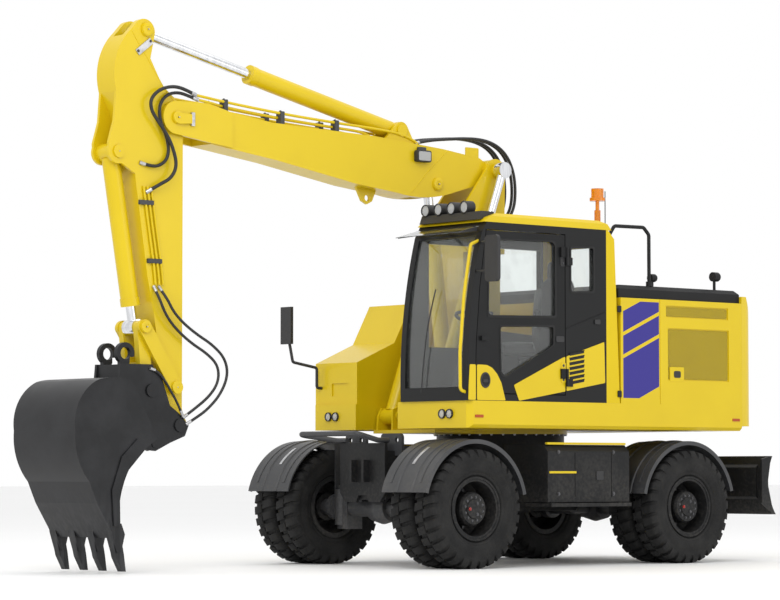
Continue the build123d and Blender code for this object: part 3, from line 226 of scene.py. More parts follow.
def polished_rod():
    """Hard chrome with faint rings from grinding."""
    chrome = Finish("rod_chrome", Metallic=1.0)
    streak = chrome.noise(30.0, 3.0, stretch=(1.0, 1.0, 0.15))
    bright = chrome.spread(streak, 0.4, 0.7)
    chrome.set("Base Color", chrome.mix(rgb(0.78, 0.79, 0.81), rgb(0.62, 0.63, 0.65), bright))
    chrome.set("Roughness", 0.14 + (streak - 0.4) * 0.12)
    chrome.bump(chrome.noise(500.0, 2.0), 0.03, 0.0003)
    return chrome


def bare_steel(name, colour, roughness):
    """Zinc-plated steel with a faint cloud."""
    steel = Finish(name, Metallic=0.9)
    cloud = steel.noise(22.0, 4.0)
    dull = rgb(*[c * 0.7 for c in colour[:3]])
    steel.set("Base Color", steel.mix(colour, dull, steel.spread(cloud, 0.4, 0.7)))
    steel.set("Roughness", roughness + (cloud - 0.5) * 0.2)
    steel.bump(steel.noise(300.0, 2.0), 0.08, 0.0004)
    return steel


def glazing(tint):
    """Lightly tinted safety glass with a trace of dust."""
    glass = Finish("clear_glass", Metallic=0.0, IOR=1.45, Transmission_Weight=0.97)
    dust = glass.spread(glass.noise(9.0, 5.0), 0.5, 0.8)
    glass.set("Base Color", glass.mix(tint, rgb(*[c * 0.88 for c in tint[:3]]), dust * 0.5))
    glass.set("Roughness", 0.02 + dust * 0.04)
    return glass


def moulded_plastic(name, colour, roughness, grain=0.2):
    """Grained plastic moulding."""
    plastic = Finish(name, Metallic=0.0, IOR=1.46)
    cloud = plastic.noise(14.0, 3.0)
    light = rgb(*[min(1.0, c * 1.7 + 0.004) for c in colour[:3]])
    plastic.set("Base Color", plastic.mix(colour, light, cloud * 0.4))
    plastic.set("Roughness", roughness + (cloud - 0.5) * 0.12)
    plastic.bump(plastic.noise(700.0, 2.0, 0.6), grain, 0.0006)
    return plastic


def bucket_steel():
    """Dark painted steel, scuffed towards the cutting edge."""
    steel = Finish("bucket_steel", Metallic=0.0, IOR=1.5, Specular_IOR_Level=0.25)
    cloud = steel.noise(3.2, 5.0, 0.6)
    scratch = steel.noise(26.0, 4.0, stretch=(1.0, 1.0, 0.12))
    worn = (1.0 - steel.spread(steel.z, 0.05, 0.75)) * steel.spread(scratch, 0.45, 0.62)
    painted = steel.mix(rgb(0.0105, 0.0108, 0.012), rgb(0.022, 0.0225, 0.0245), steel.spread(cloud, 0.4, 0.7))
    steel.set("Base Color", steel.mix(painted, rgb(0.060, 0.061, 0.064), worn * 0.45))
    steel.set("Roughness", 0.40 + (cloud - 0.5) * 0.3)
    steel.bump(steel.noise(180.0, 3.0) * 0.6 + scratch * 0.4, 0.08, 0.001)
    return steel


def perforated_sheet():
    """Yellow sheet with staggered rows of round holes, each coloured a dark yellow as painted shade seen
    through it.
    """
    sheet = Finish("perforated_sheet", Metallic=0.0, IOR=1.45)
    pitch = 0.0125
    along = sheet.x / pitch
    up = sheet.z / (pitch * 0.5)
    row = (up - up.fraction()) * 0.5
    across = (along + row).fraction() - 0.5
    rise = up.fraction() - 0.5
    hole = (across * across + rise * rise * 0.25) < 0.085
    cloud = sheet.noise(3.0, 4.0)
    painted = sheet.mix(yellow, yellow_shade, cloud)
    # painted shade: each hole is coloured a dark yellow instead of being cut open
    sheet.set("Base Color", sheet.mix(painted, rgb(0.055, 0.045, 0.006), hole))
    sheet.set("Roughness", 0.38 + hole * 0.4)
    sheet.bump(1.0 - hole, 0.5, 0.002)
    return sheet


def woven_cloth():
    """Dark woven upholstery with a fine twill."""
    cloth = Finish("seat_cloth", Metallic=0.0, IOR=1.4, Sheen_Weight=0.25, Sheen_Roughness=0.5)
    twill = ((cloth.y + cloth.z) * 260.0).fraction() - 0.5
    weft = ((cloth.y - cloth.z) * 260.0).fraction() - 0.5
    weave = twill.size() + weft.size()
    cloud = cloth.noise(8.0, 4.0)
    dark = cloth.mix(rgb(0.018, 0.018, 0.020), rgb(0.045, 0.045, 0.048), cloud)
    cloth.set("Base Color", cloth.mix(dark, rgb(0.070, 0.070, 0.074), weave * 0.35))
    cloth.set("Roughness", 0.86 + (cloud - 0.5) * 0.15)
    cloth.bump(weave, 0.35, 0.0012)
    return cloth


def lamp_lens(name, colour):
    """A clear or coloured lens with moulded flutes, its colour darkened towards each flute's edge as painted
    shade.
    """
    lens = Finish(name, Metallic=0.0, IOR=1.5, Transmission_Weight=0.55)
    flute_and_shade = ((lens.y * 90.0).fraction() - 0.5).size()
    # painted shade: the lens colour darkens towards each flute's edge, following the flutes' shape
    lens.set("Base Color", lens.mix(colour, rgb(*[c * 0.6 for c in colour[:3]]), flute_and_shade * 0.6))
    lens.set("Roughness", 0.08 + flute_and_shade * 0.15)
    lens.bump(flute_and_shade, 0.3, 0.002)
    return lens


glossy = {"coat": 0.15, "shine": 0.35}
blue_bands = (stripe_blue, hood_stripes)
black_front = (cab_black, cab_dark_part)
yellow_paint = machine_paint("yellow_paint", yellow, yellow_shade, 0.34, **glossy)
hood_paint = machine_paint("hood_paint", yellow, yellow_shade, 0.34, **glossy, second=blue_bands)
cab_paint = machine_paint("cab_paint", yellow, yellow_shade, 0.34, coat=0.05, shine=0.25, second=black_front)
cast_paint = worn_casting()
dark_paint = machine_paint("dark_paint", charcoal, charcoal_shade, 0.48, dust=0.25, coat=0.08)
frame_paint = machine_paint("frame_paint", frame_black, frame_shade, 0.44, dust=0.2, coat=0.0, shine=0.2)
door_paint = machine_paint("door_paint", cab_black, cab_black_shade, 0.40, coat=0.03, shine=0.22)
rubber = tyre_rubber()
chrome = polished_rod()
zinc = bare_steel("zinc_steel", rgb(0.55, 0.55, 0.56), 0.35)
dark_bolt = bare_steel("dark_bolt", rgb(0.12, 0.12, 0.125), 0.45)
glass = glazing(rgb(0.93, 0.96, 0.95))
mirror_face = bare_steel("mirror_face", rgb(0.75, 0.77, 0.80), 0.06)
plastic = moulded_plastic("cab_plastic", rgb(0.020, 0.020, 0.021), 0.55)
light_plastic = moulded_plastic("light_plastic", rgb(0.16, 0.165, 0.17), 0.6)
hose_rubber = moulded_plastic("hose_rubber", rgb(0.014, 0.014, 0.015), 0.5, 0.1)
seal_rubber = moulded_plastic("seal_rubber", rgb(0.008, 0.008, 0.008), 0.7, 0.05)
steel = bucket_steel()
holes = perforated_sheet()
cloth = woven_cloth()
clear_lens = lamp_lens("clear_lens", rgb(0.86, 0.88, 0.90))
amber_lens = lamp_lens("amber_lens", rgb(0.90, 0.30, 0.01))
red_lens = lamp_lens("red_lens", rgb(0.60, 0.02, 0.01))
orange_lens = lamp_lens("orange_lens", rgb(0.75, 0.13, 0.01))

# The finish of each material slot in the record, and of the nodes with one of their own
finishes = {
    "yellow_paint": yellow_paint,
    "dark_paint": dark_paint,
    "grey_paint": frame_paint,
    "tyre_rubber": rubber,
    "rim_paint": frame_paint,
    "rod_chrome": chrome,
    "cylinder_paint": frame_paint,
    "clear_glass": glass,
    "seat_cloth": cloth,
    "cab_plastic": plastic,
    "cast_weight": cast_paint,
    "engine_iron": dark_paint,
    "lamp_plastic": plastic,
    "amber_plastic": amber_lens,
}
slot_of = {entry["node"]: entry["material_slot"] for entry in frame["record"]["subparts"]}
own_finish = {
    "bucket": steel,
    "quick_coupler": steel,
    "engine_hood": hood_paint,
    "cab_shell": cab_paint,
    "door": door_paint,
    "hand_rail_and_rear_lamps": frame_paint,
    "side_box_left": frame_paint,
    "side_box_right": frame_paint,
    "chassis_frame": frame_paint,
    "hood_top": frame_paint,
    "blade": frame_paint,
}
for name, node in frame["nodes"].items():
    finish = own_finish.get(name, finishes[slot_of[name]])
    for slot in node.material_slots:
        slot.material = finish.material


# Ways to make a piece
def deselect():
    bpy.ops.object.select_all(action="DESELECT")


def pick(*chosen):
    """Selects objects and makes the first one active."""
    deselect()
    for one in chosen:
        one.select_set(True)
    bpy.context.view_layer.objects.active = chosen[0]


def fix_place(*chosen):
    """Puts the objects' places into their meshes."""
    pick(*chosen)
    bpy.ops.object.transform_apply(location=True, rotation=True, scale=True)


def join(made):
    """Joins several objects into the first."""
    pick(*made)
    if len(made) > 1:
        bpy.ops.object.join()
    return bpy.context.object


def copied(made, turn):
    """A copy with its own mesh, moved by a matrix about the origin."""
    copy = made.copy()
    copy.data = made.data.copy()
    bpy.context.collection.objects.link(copy)
    copy.data.transform(turn)
    return copy


def settle(made, name, body, finish, smooth=35.0):
    """Gives an object a name, a finish with its slot and its body, and puts its place into its mesh."""
    fix_place(made)
    bpy.ops.object.shade_smooth_by_angle(angle=radians(smooth))
    made.name = name
    made.data.materials.clear()
    made.data.materials.append(finish.material)
    if body:
        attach(made, body)
    deselect()
    return made


def curve_object(name, kind, loops, flat=False):
    """A curve object with one spline for each list of points, closed if it is flat."""
    curve = bpy.data.curves.new(name, "CURVE")
    curve.dimensions = "2D" if flat else "3D"
    for loop in loops:
        spline = curve.splines.new(kind)
        spline.points.add(len(loop) - 1)
        for point, place in zip(spline.points, loop):
            point.co = (*place, 1.0)
        spline.use_cyclic_u = flat
    made = bpy.data.objects.new(name, curve)
    bpy.context.collection.objects.link(made)
    return made


def meshed(made):
    """Turns a curve object into a mesh object."""
    pick(made)
    bpy.ops.object.convert(target="MESH")
    return bpy.context.object


def aim(made, place, axis):
    """Turns an object's z axis along an axis and moves it to a place."""
    made.rotation_euler = Vector(axis).to_track_quat("Z", "Y").to_euler()
    made.location = place
    return made


def bevel(made, width):
    """Rounds an object's sharp edges."""
    pick(made)
    modifier = made.modifiers.new("edge", "BEVEL")
    modifier.width = width
    modifier.segments = 2
    modifier.limit_method = "ANGLE"
    modifier.angle_limit = radians(35)
    bpy.ops.object.modifier_apply(modifier="edge")


def flat_plate(loops, depth, edge=0.0):
    """A filled flat shape with the loops as its outline and holes, thickened evenly, with a soft edge."""
    made = curve_object("outline", "POLY", [[(u, v, 0.0) for u, v in loop] for loop in loops], flat=True)
    curve = made.data
    curve.fill_mode = "BOTH"
    curve.extrude = depth / 2 - edge
    curve.bevel_depth = edge
    curve.bevel_resolution = 1
    curve.offset = -edge
    return meshed(made)


def side_plate(loops, y, depth, edge=0.0):
    """A plate that stands along the machine, drawn as x and z, with its middle at y."""
    made = flat_plate(loops, depth, edge)
    made.rotation_euler = (pi / 2, 0.0, 0.0)
    made.location = (0.0, y, 0.0)
    return made


def cross_plate(loops, x, depth, edge=0.0):
    """A plate that stands across the machine, drawn as y and z, with its middle at x."""
    made = flat_plate(loops, depth, edge)
    made.rotation_euler = (pi / 2, 0.0, pi / 2)
    made.location = (x, 0.0, 0.0)
    return made


def rounded(points, radius, steps=4):
    """A closed outline with each corner turned into a small arc."""
    outline = []
    count = len(points)
    for i in range(count):
        here = Vector(points[i])
        before = Vector(points[i - 1])
        after = Vector(points[(i + 1) % count])
        back = (before - here).normalized()
        ahead = (after - here).normalized()
        cut = min(radius, (before - here).length * 0.45, (after - here).length * 0.45)
        start = here + back * cut
        end = here + ahead * cut
        for step in range(steps + 1):
            t = step / steps
            outline.append(tuple(start * (1 - t) ** 2 + here * 2 * t * (1 - t) + end * t**2))
    return outline


def oblong(first_u, last_u, low, high):
    """The corners of an upright rectangle."""
    return [(first_u, low), (first_u, high), (last_u, high), (last_u, low)]


def round_points(radius, count):
    """The corners of a round disc, or of a hexagon with a count of six."""
    return [(radius * cos(tau * i / count), radius * sin(tau * i / count)) for i in range(count)]


def turned(profile, place, axis, steps):
    """A turned shape: a profile of distance along the axis and radius, spun about the axis from a place."""
    made = meshed(curve_object("profile", "POLY", [[(radius, 0.0, along) for along, radius in profile]]))
    bpy.ops.object.mode_set(mode="EDIT")
    bpy.ops.mesh.select_all(action="SELECT")
    bpy.ops.mesh.spin(steps=steps, angle=tau, center=(0.0, 0.0, 0.0), axis=(0.0, 0.0, 1.0))
    bpy.ops.mesh.select_all(action="SELECT")
    bpy.ops.mesh.remove_doubles(threshold=0.00002)
    bpy.ops.mesh.normals_make_consistent(inside=False)
    bpy.ops.object.mode_set(mode="OBJECT")
    return aim(made, place, axis)


def bolt(place, axis, radius, height):
    """A hexagon head on a washer."""
    head = flat_plate([round_points(radius, 6)], height, radius * 0.12)
    washer = flat_plate([round_points(radius * 1.35, 16)], height * 0.3)
    head.location.z = height * 0.6
    washer.location.z = height * 0.12
    fix_place(head, washer)
    return aim(join([head, washer]), place, axis)


def bolts(name, body, places, axis, radius, height, finish=dark_bolt):
    """Several bolt heads as one piece."""
    return settle(join([bolt(place, axis, radius, height) for place in places]), name, body, finish)


def route(name, points, order=3, detail=8):
    """A curve object that runs smoothly past its points."""
    made = curve_object(name, "NURBS", [points])
    made.data.resolution_u = detail
    spline = made.data.splines[0]
    spline.order_u = order
    spline.use_endpoint_u = True
    return made


def tube(made, radius):
    """Thickens a route into a closed round tube."""
    made.data.bevel_depth = radius
    made.data.bevel_resolution = 3
    made.data.use_fill_caps = True
    return meshed(made)


def pipe(name, body, points, radius, finish, order=3):
    """A round pipe or rail along points, each bend smooth."""
    return settle(tube(route(name, points, order, 6), radius), name, body, finish, 60.0)


hands = ((1, "left"), (-1, "right"))
flanks = ((1, "near"), (-1, "far"))

# Tyres: a spun carcass with slanted lugs that wrap round the shoulder
axle_z = 0.527
twin_y = 0.976
half_pair = 0.160
lugs_in_row = 30
corners = {
    "front_left": (1.43, 1, "wheels_front_left"),
    "front_right": (1.43, -1, "wheels_front_right"),
    "rear_left": (-1.25, 1, "wheels_rear_left"),
    "rear_right": (-1.25, -1, "wheels_rear_right"),
}


def carcass():
    """The tyre's body about the z axis at the origin: bead, sidewall with ribs, shoulder and crown."""
    side = [
        (0.100, 0.256),
        (0.100, 0.288),
        (0.108, 0.297),
        (0.116, 0.300),
        (0.122, 0.312),
        (0.1225, 0.322),
        (0.1265, 0.325),
        (0.133, 0.350),
        (0.1375, 0.385),
        (0.138, 0.410),
        (0.1355, 0.440),
        (0.1375, 0.444),
        (0.1365, 0.452),
        (0.131, 0.470),
        (0.117, 0.492),
        (0.095, 0.503),
        (0.040, 0.505),
    ]
    profile = side + [(-along, radius) for along, radius in reversed(side)]
    return turned(profile + [side[0]], (0.0, 0.0, 0.0), (0.0, 0.0, 1.0), 96)


def shoulder_lug(side):
    """One lug at the top of the tyre: thick on the tread, slanted, thin where it runs down the sidewall."""
    outline = [
        (0.006, 0.500),
        (0.006, 0.5265),
        (0.098, 0.5255),
        (0.118, 0.517),
        (0.1345, 0.488),
        (0.1385, 0.460),
        (0.1360, 0.447),
        (0.126, 0.462),
        (0.105, 0.495),
    ]
    width, edge = 0.070, 0.004
    slant, slant_from = 0.24, 0.06
    narrowing, shoulder = 1.6, 0.105
    lug = flat_plate([[(side * along, radius) for along, radius in outline]], width)
    bevel(lug, edge)
    lug.rotation_euler = (pi / 2, 0.0, 0.0)
    fix_place(lug)
    for vertex in lug.data.vertices:
        vertex.co.y += slant * (abs(vertex.co.x) - slant_from) * side
        vertex.co.y *= 1.0 - narrowing * max(0.0, abs(vertex.co.x) - shoulder)
    return lug


def tyre():
    """One tyre about the z axis: the carcass and two staggered rows of lugs."""
    body = carcass()
    fix_place(body)
    made = [body]
    stand = Matrix.Rotation(pi / 2, 4, "Y")
    for side, shift in ((1, 0.0), (-1, 0.5)):
        master = shoulder_lug(side)
        for i in range(lugs_in_row):
            angle = tau * (i + shift) / lugs_in_row
            made.append(copied(master, Matrix.Rotation(angle, 4, "Z") @ stand))
        bpy.data.objects.remove(master)
    return join(made)


def place_tyres():
    """Two tyres on each corner, their lugs out of step, as one piece that stands for the corner's solids."""
    master = tyre()
    lay = Matrix.Rotation(-pi / 2, 4, "X")
    for corner, (axle_x, side, body) in corners.items():
        pair = []
        for offset in (half_pair, -half_pair):
            place = Matrix.Translation((axle_x, side * twin_y + offset, axle_z))
            pair.append(copied(master, place @ lay @ Matrix.Rotation(offset, 4, "Z")))
        made = settle(join(pair), f"tyre_pair_{corner}", body, rubber, 40.0)
        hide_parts(f"tyres_{corner}")
    bpy.data.objects.remove(master)


def ring_places(centre, radius, count, turn=0.0):
    """Points evenly round a circle that lies across the y axis."""
    x, y, z = centre
    angles = [turn + tau * i / count for i in range(count)]
    return [(x + radius * cos(a), y, z + radius * sin(a)) for a in angles]


def place_hubs():
    """Wheel nuts, hub bolts and plugs, a red level plug and the lock ring of each rim."""
    level_profile = [(0.0, 0.0), (0.0, 0.016), (0.007, 0.015), (0.009, 0.010), (0.009, 0.0)]
    lock_profile = [(0.0, 0.262), (0.0, 0.281), (0.004, 0.285), (0.009, 0.281), (0.009, 0.266), (0.0, 0.262)]
    for corner, (axle_x, side, body) in corners.items():
        out = (0, side, 0)
        disc, flange, cover, rim_edge = [
            (axle_x, side * (twin_y + reach), axle_z) for reach in (0.016, 0.244, 0.258, half_pair + 0.108)
        ]
        bolts(f"wheel_nuts_{corner}", body, ring_places(disc, 0.170, 10), out, 0.017, 0.026)
        bolts(f"hub_bolts_{corner}", body, ring_places(flange, 0.104, 12, 0.2), out, 0.0095, 0.008)
        bolts(f"hub_plugs_{corner}", body, ring_places(cover, 0.055, 3), out, 0.012, 0.008)
        level = turned(level_profile, (cover[0] + 0.058, cover[1], cover[2]), out, 24)
        settle(level, f"level_plug_{corner}", body, red_lens)
        settle(turned(lock_profile, rim_edge, out, 72), f"lock_ring_{corner}", body, frame_paint)


place_tyres()
place_hubs()


# Cab side: window seals, yellow panels, louvres and handles
side_y = 1.240
door_y = side_y + 0.0005
cab_y = side_y + 0.0015


def side_panel(name, body, loop, finish, y=cab_y, depth=0.005, corner=0.012, edge=0.0012):
    """A small plate with rounded corners that stands along the machine."""
    return settle(side_plate([rounded(loop, corner)], y, depth, edge), name, body, finish)


def grown(loop, amount):
    """An outline moved outward from its middle by an amount, or inward if negative."""
    middle = Vector((sum(p[0] for p in loop) / len(loop), sum(p[1] for p in loop) / len(loop)))
    width = max(p[0] for p in loop) - min(p[0] for p in loop)
    height = max(p[1] for p in loop) - min(p[1] for p in loop)
    scale_x = 1.0 + 2 * amount / width
    scale_y = 1.0 + 2 * amount / height
    return [(middle.x + (p[0] - middle.x) * scale_x, middle.y + (p[1] - middle.y) * scale_y) for p in loop]


def window_seal(name, body, loop, y):
    """A rubber strip round a window."""
    rim = [rounded(grown(loop, 0.013), 0.03), rounded(grown(loop, -0.004), 0.025)]
    settle(side_plate(rim, y, 0.006, 0.002), name, body, seal_rubber)


upper_window = [(0.457, 2.252), (1.272, 2.232), (1.262, 2.850)]
upper_window += [(1.220, 2.912), (0.490, 2.925), (0.457, 2.890)]
lower_window = [(0.480, 1.990), (1.060, 1.700), (1.120, 1.720), (1.130, 2.140), (0.480, 2.160)]
quarter_window = [(-0.024, 2.493), (0.262, 2.482), (0.262, 2.880), (-0.024, 2.893)]
window_seal("door_seal_upper", "door", upper_window, door_y)
window_seal("door_seal_lower", "door", lower_window, door_y)
window_seal("quarter_seal", "upper_structure", quarter_window, cab_y)

corner_curve = [(1.290, 1.794), (1.230, 1.772), (1.170, 1.718), (1.120, 1.640), (1.070, 1.484)]
door_corner = [(1.410, 1.484), (1.410, 1.797), (1.350, 1.797)] + corner_curve
side_panel("front_corner_door", "door", door_corner, yellow_paint, door_y)
pillar_foot = [(1.426, 1.484), (1.426, 1.797), (1.496, 1.797), (1.508, 1.620), (1.514, 1.484)]
side_panel("front_corner_cab", "upper_structure", pillar_foot, yellow_paint)
door_sweep = [(0.338, 1.890), (0.377, 1.878), (0.967, 1.624), (0.906, 1.484), (0.338, 1.577)]
side_panel("sweep_door", "door", door_sweep, yellow_paint, door_y)
cab_sweep = [(0.322, 1.894), (-0.154, 2.037), (-0.164, 1.663), (0.322, 1.581)]
side_panel("sweep_cab", "upper_structure", cab_sweep, yellow_paint)


def louvres():
    """Seven slanted slots in the cab's yellow panel under small hoods; each slot is a thin dark sheet laid on
    the panel as painted shade of a recess.
    """
    slot_shades = []
    hoods = []
    for i in range(7):
        z = 1.668 + i * 0.0435
        slot = [(0.104, z), (0.104, z + 0.020), (0.286, z - 0.010), (0.286, z - 0.030)]
        hood = [(0.100, z + 0.019), (0.100, z + 0.028), (0.290, z - 0.003), (0.290, z - 0.012)]
        # painted shade: a near-black sheet on the panel's face stands in for the shade inside each slot
        slot_shades.append(side_plate([rounded(slot, 0.008)], side_y + 0.0048, 0.002))
        hoods.append(side_plate([rounded(hood, 0.004)], side_y + 0.0062, 0.006, 0.0015))
    settle(join(slot_shades), "louvre_slot_shades", "upper_structure", seal_rubber)
    settle(join(hoods), "louvre_hoods", "upper_structure", door_paint)


def pull_oval(half_width, half_height):
    """The outline of the door pull."""
    return [(1.314 + half_width * u, 1.661 + half_height * v) for u, v in round_points(1.0, 32)]


louvres()
pull_rim = side_plate([pull_oval(0.058, 0.070), pull_oval(0.043, 0.054)], side_y + 0.0055, 0.008, 0.002)
settle(pull_rim, "door_pull_rim", "door", plastic)
settle(side_plate([pull_oval(0.043, 0.054)], side_y + 0.0035, 0.004), "door_pull_cup", "door", seal_rubber)

pull_lever = oblong(1.285, 1.343, 1.640, 1.668)
crease = [(0.322, 2.150), (-0.180, 2.318), (-0.180, 2.308), (0.322, 2.139)]
upper_strap = oblong(0.338, 0.396, 2.708, 2.880)
lower_strap = oblong(0.338, 0.392, 1.655, 1.838)
catch = oblong(-0.10, -0.03, 2.195, 2.240)
latch = oblong(0.352, 0.452, 2.02, 2.075)
# Each row: name, body, outline, finish, middle y, depth, corner radius, soft edge
cab_plates = [
    ("door_pull_lever", "door", pull_lever, plastic, side_y + 0.0075, 0.010, 0.010, 0.003),
    ("crease_cab", "upper_structure", crease, door_paint, side_y + 0.002, 0.006, 0.003, 0.0012),
    ("hinge_strap_upper", "door", upper_strap, plastic, cab_y, 0.009, 0.015, 0.0012),
    ("hinge_strap_lower", "door", lower_strap, yellow_paint, side_y + 0.0055, 0.009, 0.015, 0.0012),
    ("quarter_catch", "upper_structure", catch, plastic, side_y + 0.006, 0.014, 0.012, 0.004),
    ("door_latch", "door", latch, plastic, side_y + 0.0025, 0.008, 0.014, 0.003),
]
for row in cab_plates:
    side_panel(*row)
strap_bolts = [(0.366, 1.246, 2.735), (0.366, 1.246, 2.852), (0.366, 1.250, 1.682), (0.366, 1.250, 1.810)]
bolts("hinge_bolts", "door", strap_bolts, (0, 1, 0), 0.009, 0.006)


# Hood: perforated sheets in their recesses, latch and catches
def grille(name, y, outline):
    """A perforated sheet set in a recess of the hood."""
    side_panel(name, "upper_structure", outline, holes, y, 0.004, 0.020, 0.001)


for side, hand in hands:
    grille(f"upper_grille_{hand}", side * 1.2305, oblong(-1.790, -0.972, 2.300, 2.390))
    grille(f"lower_grille_{hand}", side * 1.2305, oblong(-1.798, -0.995, 1.715, 2.180))
latch_plate = oblong(-1.197, -1.011, 1.691, 1.828)
side_panel("hood_latch_plate", "upper_structure", latch_plate, yellow_paint, 1.2375, 0.010)
latch_cup = oblong(-1.150, -1.060, 1.728, 1.792)
side_panel("hood_latch", "upper_structure", latch_cup, plastic, 1.2435, 0.006, 0.020, 0.002)
for index, z in enumerate((2.346, 1.565)):
    catch = oblong(-0.368, -0.322, z - 0.03, z + 0.03)
    side_panel(f"pillar_catch_{index}", "upper_structure", catch, seal_rubber, 1.247, 0.014, 0.01, 0.004)


# Hoses
def ferrule(name, body, end, inner, radius):
    """The crimped steel end of a hose, with its nut."""
    r = radius
    nut = [(-0.004, 0.0), (-0.004, r * 1.25), (0.012, r * 1.3)]
    sleeve = [(0.013, r * 1.12), (0.050, r * 1.18), (0.054, r * 0.9)]
    axis = Vector(inner) - Vector(end)
    settle(turned(nut + sleeve, end, axis, 20), name, body, zinc)


def hose(name, body, points, radius, joint=None):
    """A free hydraulic hose along its points with a crimped end at each; over a joint, its ends go to the
    joint's two bodies.
    """
    made = route(name, points)
    line = bpy.data.meshes.new_from_object(made)
    bpy.data.meshes.remove(line)
    made = settle(tube(made, radius), name, body, hose_rubber, 60.0)
    if joint:
        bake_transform(made)
    carriers = joint[:2] if joint else (body, body)
    ferrule(f"{name}_ferrule_a", carriers[0], points[0], points[1], radius)
    ferrule(f"{name}_ferrule_b", carriers[1], points[-1], points[-2], radius)


def in_plane(y, points):
    """Points of a route that lies in a plane along the machine, given as x and z."""
    return [(x, y, z) for x, z in points]


boom_y = -0.165


def beside(side, reach, points):
    """Points of a route that lies beside the boom, given as x and z, at a reach from its middle."""
    return in_plane(boom_y + side * reach, points)


elbow = ("upper_boom", "arm", (3.70, 0.0, 4.15), (3.95, 0.0, 3.80))
outer_loop = [(3.72, 4.165), (3.85, 4.180), (3.99, 4.140), (4.085, 4.050), (4.075, 3.950), (4.00, 3.860)]
outer_loop += [(3.90, 3.745), (3.835, 3.625), (3.80, 3.490), (3.86, 3.380), (3.98, 3.320)]
inner_loop = [(3.66, 4.115), (3.76, 4.135), (3.87, 4.115), (3.950, 4.040), (3.968, 3.940), (3.945, 3.850)]
inner_loop += [(3.885, 3.740), (3.86, 3.630), (3.885, 3.535), (3.97, 3.480), (4.06, 3.475)]
for side, flank in flanks:
    start = beside(side, 0.167, [(3.585, 4.125)])
    end = beside(side, 0.137, [(4.08, 3.250)])
    hose(f"arm_hose_outer_{flank}", None, start + beside(side, 0.195, outer_loop) + end, 0.0155, elbow)
    start = beside(side, 0.167, [(3.56, 4.085)])
    end = beside(side, 0.135, [(4.15, 3.500)])
    hose(f"arm_hose_inner_{flank}", None, start + beside(side, 0.159, inner_loop) + end, 0.0145, elbow)

tail = [(0.86, 3.925), (0.55, 3.960), (0.27, 3.985), (0.05, 3.960), (-0.12, 3.870), (-0.215, 3.715)]
tail += [(-0.245, 3.530), (-0.225, 3.350), (-0.140, 3.235)]
for index, y in enumerate((-0.045, -0.105, -0.215, -0.275)):
    lean = 0.012 * index
    arch = [(x - lean * (x < 0.1), y, z + lean * 0.5) for x, z in tail]
    hinge = ("upper_boom", "lower_boom", (0.15, y, 3.95), (-0.15, y, 3.45))
    hose(f"tail_hose_{index}", None, [(1.02, y, 3.885)] + arch + [(-0.010, y, 3.190)], 0.0145, hinge)

wrist = ("arm", "tool", (3.42, 0.0, 1.60), (3.66, 0.0, 1.36))
drop = [(3.985, 2.340), (3.92, 2.200), (3.81, 2.080), (3.65, 1.965), (3.48, 1.880), (3.355, 1.780)]
drop += [(3.345, 1.640), (3.44, 1.510)]
landing = [(3.62, 0.034, 1.385), (3.725, 0.028, 1.318)]
hose("bucket_hose_front", None, [(4.00, -0.028, 2.440)] + in_plane(0.036, drop) + landing, 0.0125, wrist)
drop = [(3.925, 2.340), (3.86, 2.230), (3.75, 2.130), (3.60, 2.035), (3.44, 1.955), (3.300, 1.840)]
drop += [(3.265, 1.690), (3.35, 1.520), (3.49, 1.390)]
landing = [(3.60, 0.050, 1.318), (3.690, 0.028, 1.262)]
hose("bucket_hose_rear", None, [(3.945, -0.028, 2.440)] + in_plane(0.064, drop) + landing, 0.0125, wrist)
short = [(4.08, 1.735), (4.01, 1.715), (3.93, 1.640), (3.86, 1.540), (3.79, 1.440), (3.735, 1.330)]
hose("coupler_hose", "tool", in_plane(0.040, short), 0.011)

# Steel pipes on the boom and the arm with their clamps
pipe_radius = 0.0125
clamp_y = 0.113
for side, flank in flanks:
    tip = beside(side, 0.167, [(3.58, 4.125), (3.46, 4.112)])
    run = [(3.234, 4.095), (2.60, 4.040), (1.972, 4.005), (1.50, 3.985), (1.12, 3.955), (1.00, 3.885)]
    run = tip + beside(side, 0.128, run)
    pipe(f"boom_pipe_outer_{flank}", "upper_boom", run, pipe_radius, yellow_paint)
    tip = beside(side, 0.167, [(3.555, 4.085), (3.42, 4.070)])
    run = [(3.234, 4.055), (2.60, 4.000), (1.972, 3.965), (1.62, 3.950), (1.54, 3.910)]
    run = tip + beside(side, 0.098, run)
    pipe(f"boom_pipe_inner_{flank}", "upper_boom", run, pipe_radius, yellow_paint)
for index, (x, low, high) in enumerate(((3.234, 4.010, 4.118), (2.60, 3.940, 4.062), (1.972, 3.920, 4.028))):
    middles = [boom_y + side * clamp_y for side in (1, -1)]
    shapes = [oblong(middle - 0.036, middle + 0.036, low, high) for middle in middles]
    clamps = [cross_plate([rounded(shape, 0.008)], x, 0.045, 0.004) for shape in shapes]
    settle(join(clamps), f"boom_pipe_clamp_{index}", "upper_boom", dark_paint)
    tops = [(x, middle, high) for middle in middles]
    bolts(f"boom_clamp_bolts_{index}", "upper_boom", tops, (0, 0, 1), 0.010, 0.009)

arm_run = [(4.115, 3.30), (4.085, 3.10), (4.035, 2.80), (4.000, 2.60), (3.985, 2.46)]
for index in range(3):
    run = [(x - index * 0.040, z) for x, z in arm_run]
    pipe(f"arm_pipe_{index}", "arm", in_plane(-0.022, run), 0.0105, yellow_paint)
for index, z in enumerate((3.16, 2.66)):
    x = 4.040 + (z - 2.9) * 0.18
    bar = oblong(x - 0.075, x + 0.075, z - 0.02, z + 0.02)
    side_panel(f"arm_pipe_clamp_{index}", "arm", bar, dark_paint, -0.0235, 0.028, 0.008, 0.004)


# Welds, pins, plates and the work lamp of the boom and the arm
def weld(name, body, points):
    """A thin weld bead."""
    pipe(name, body, points, 0.0045, yellow_paint, 2)


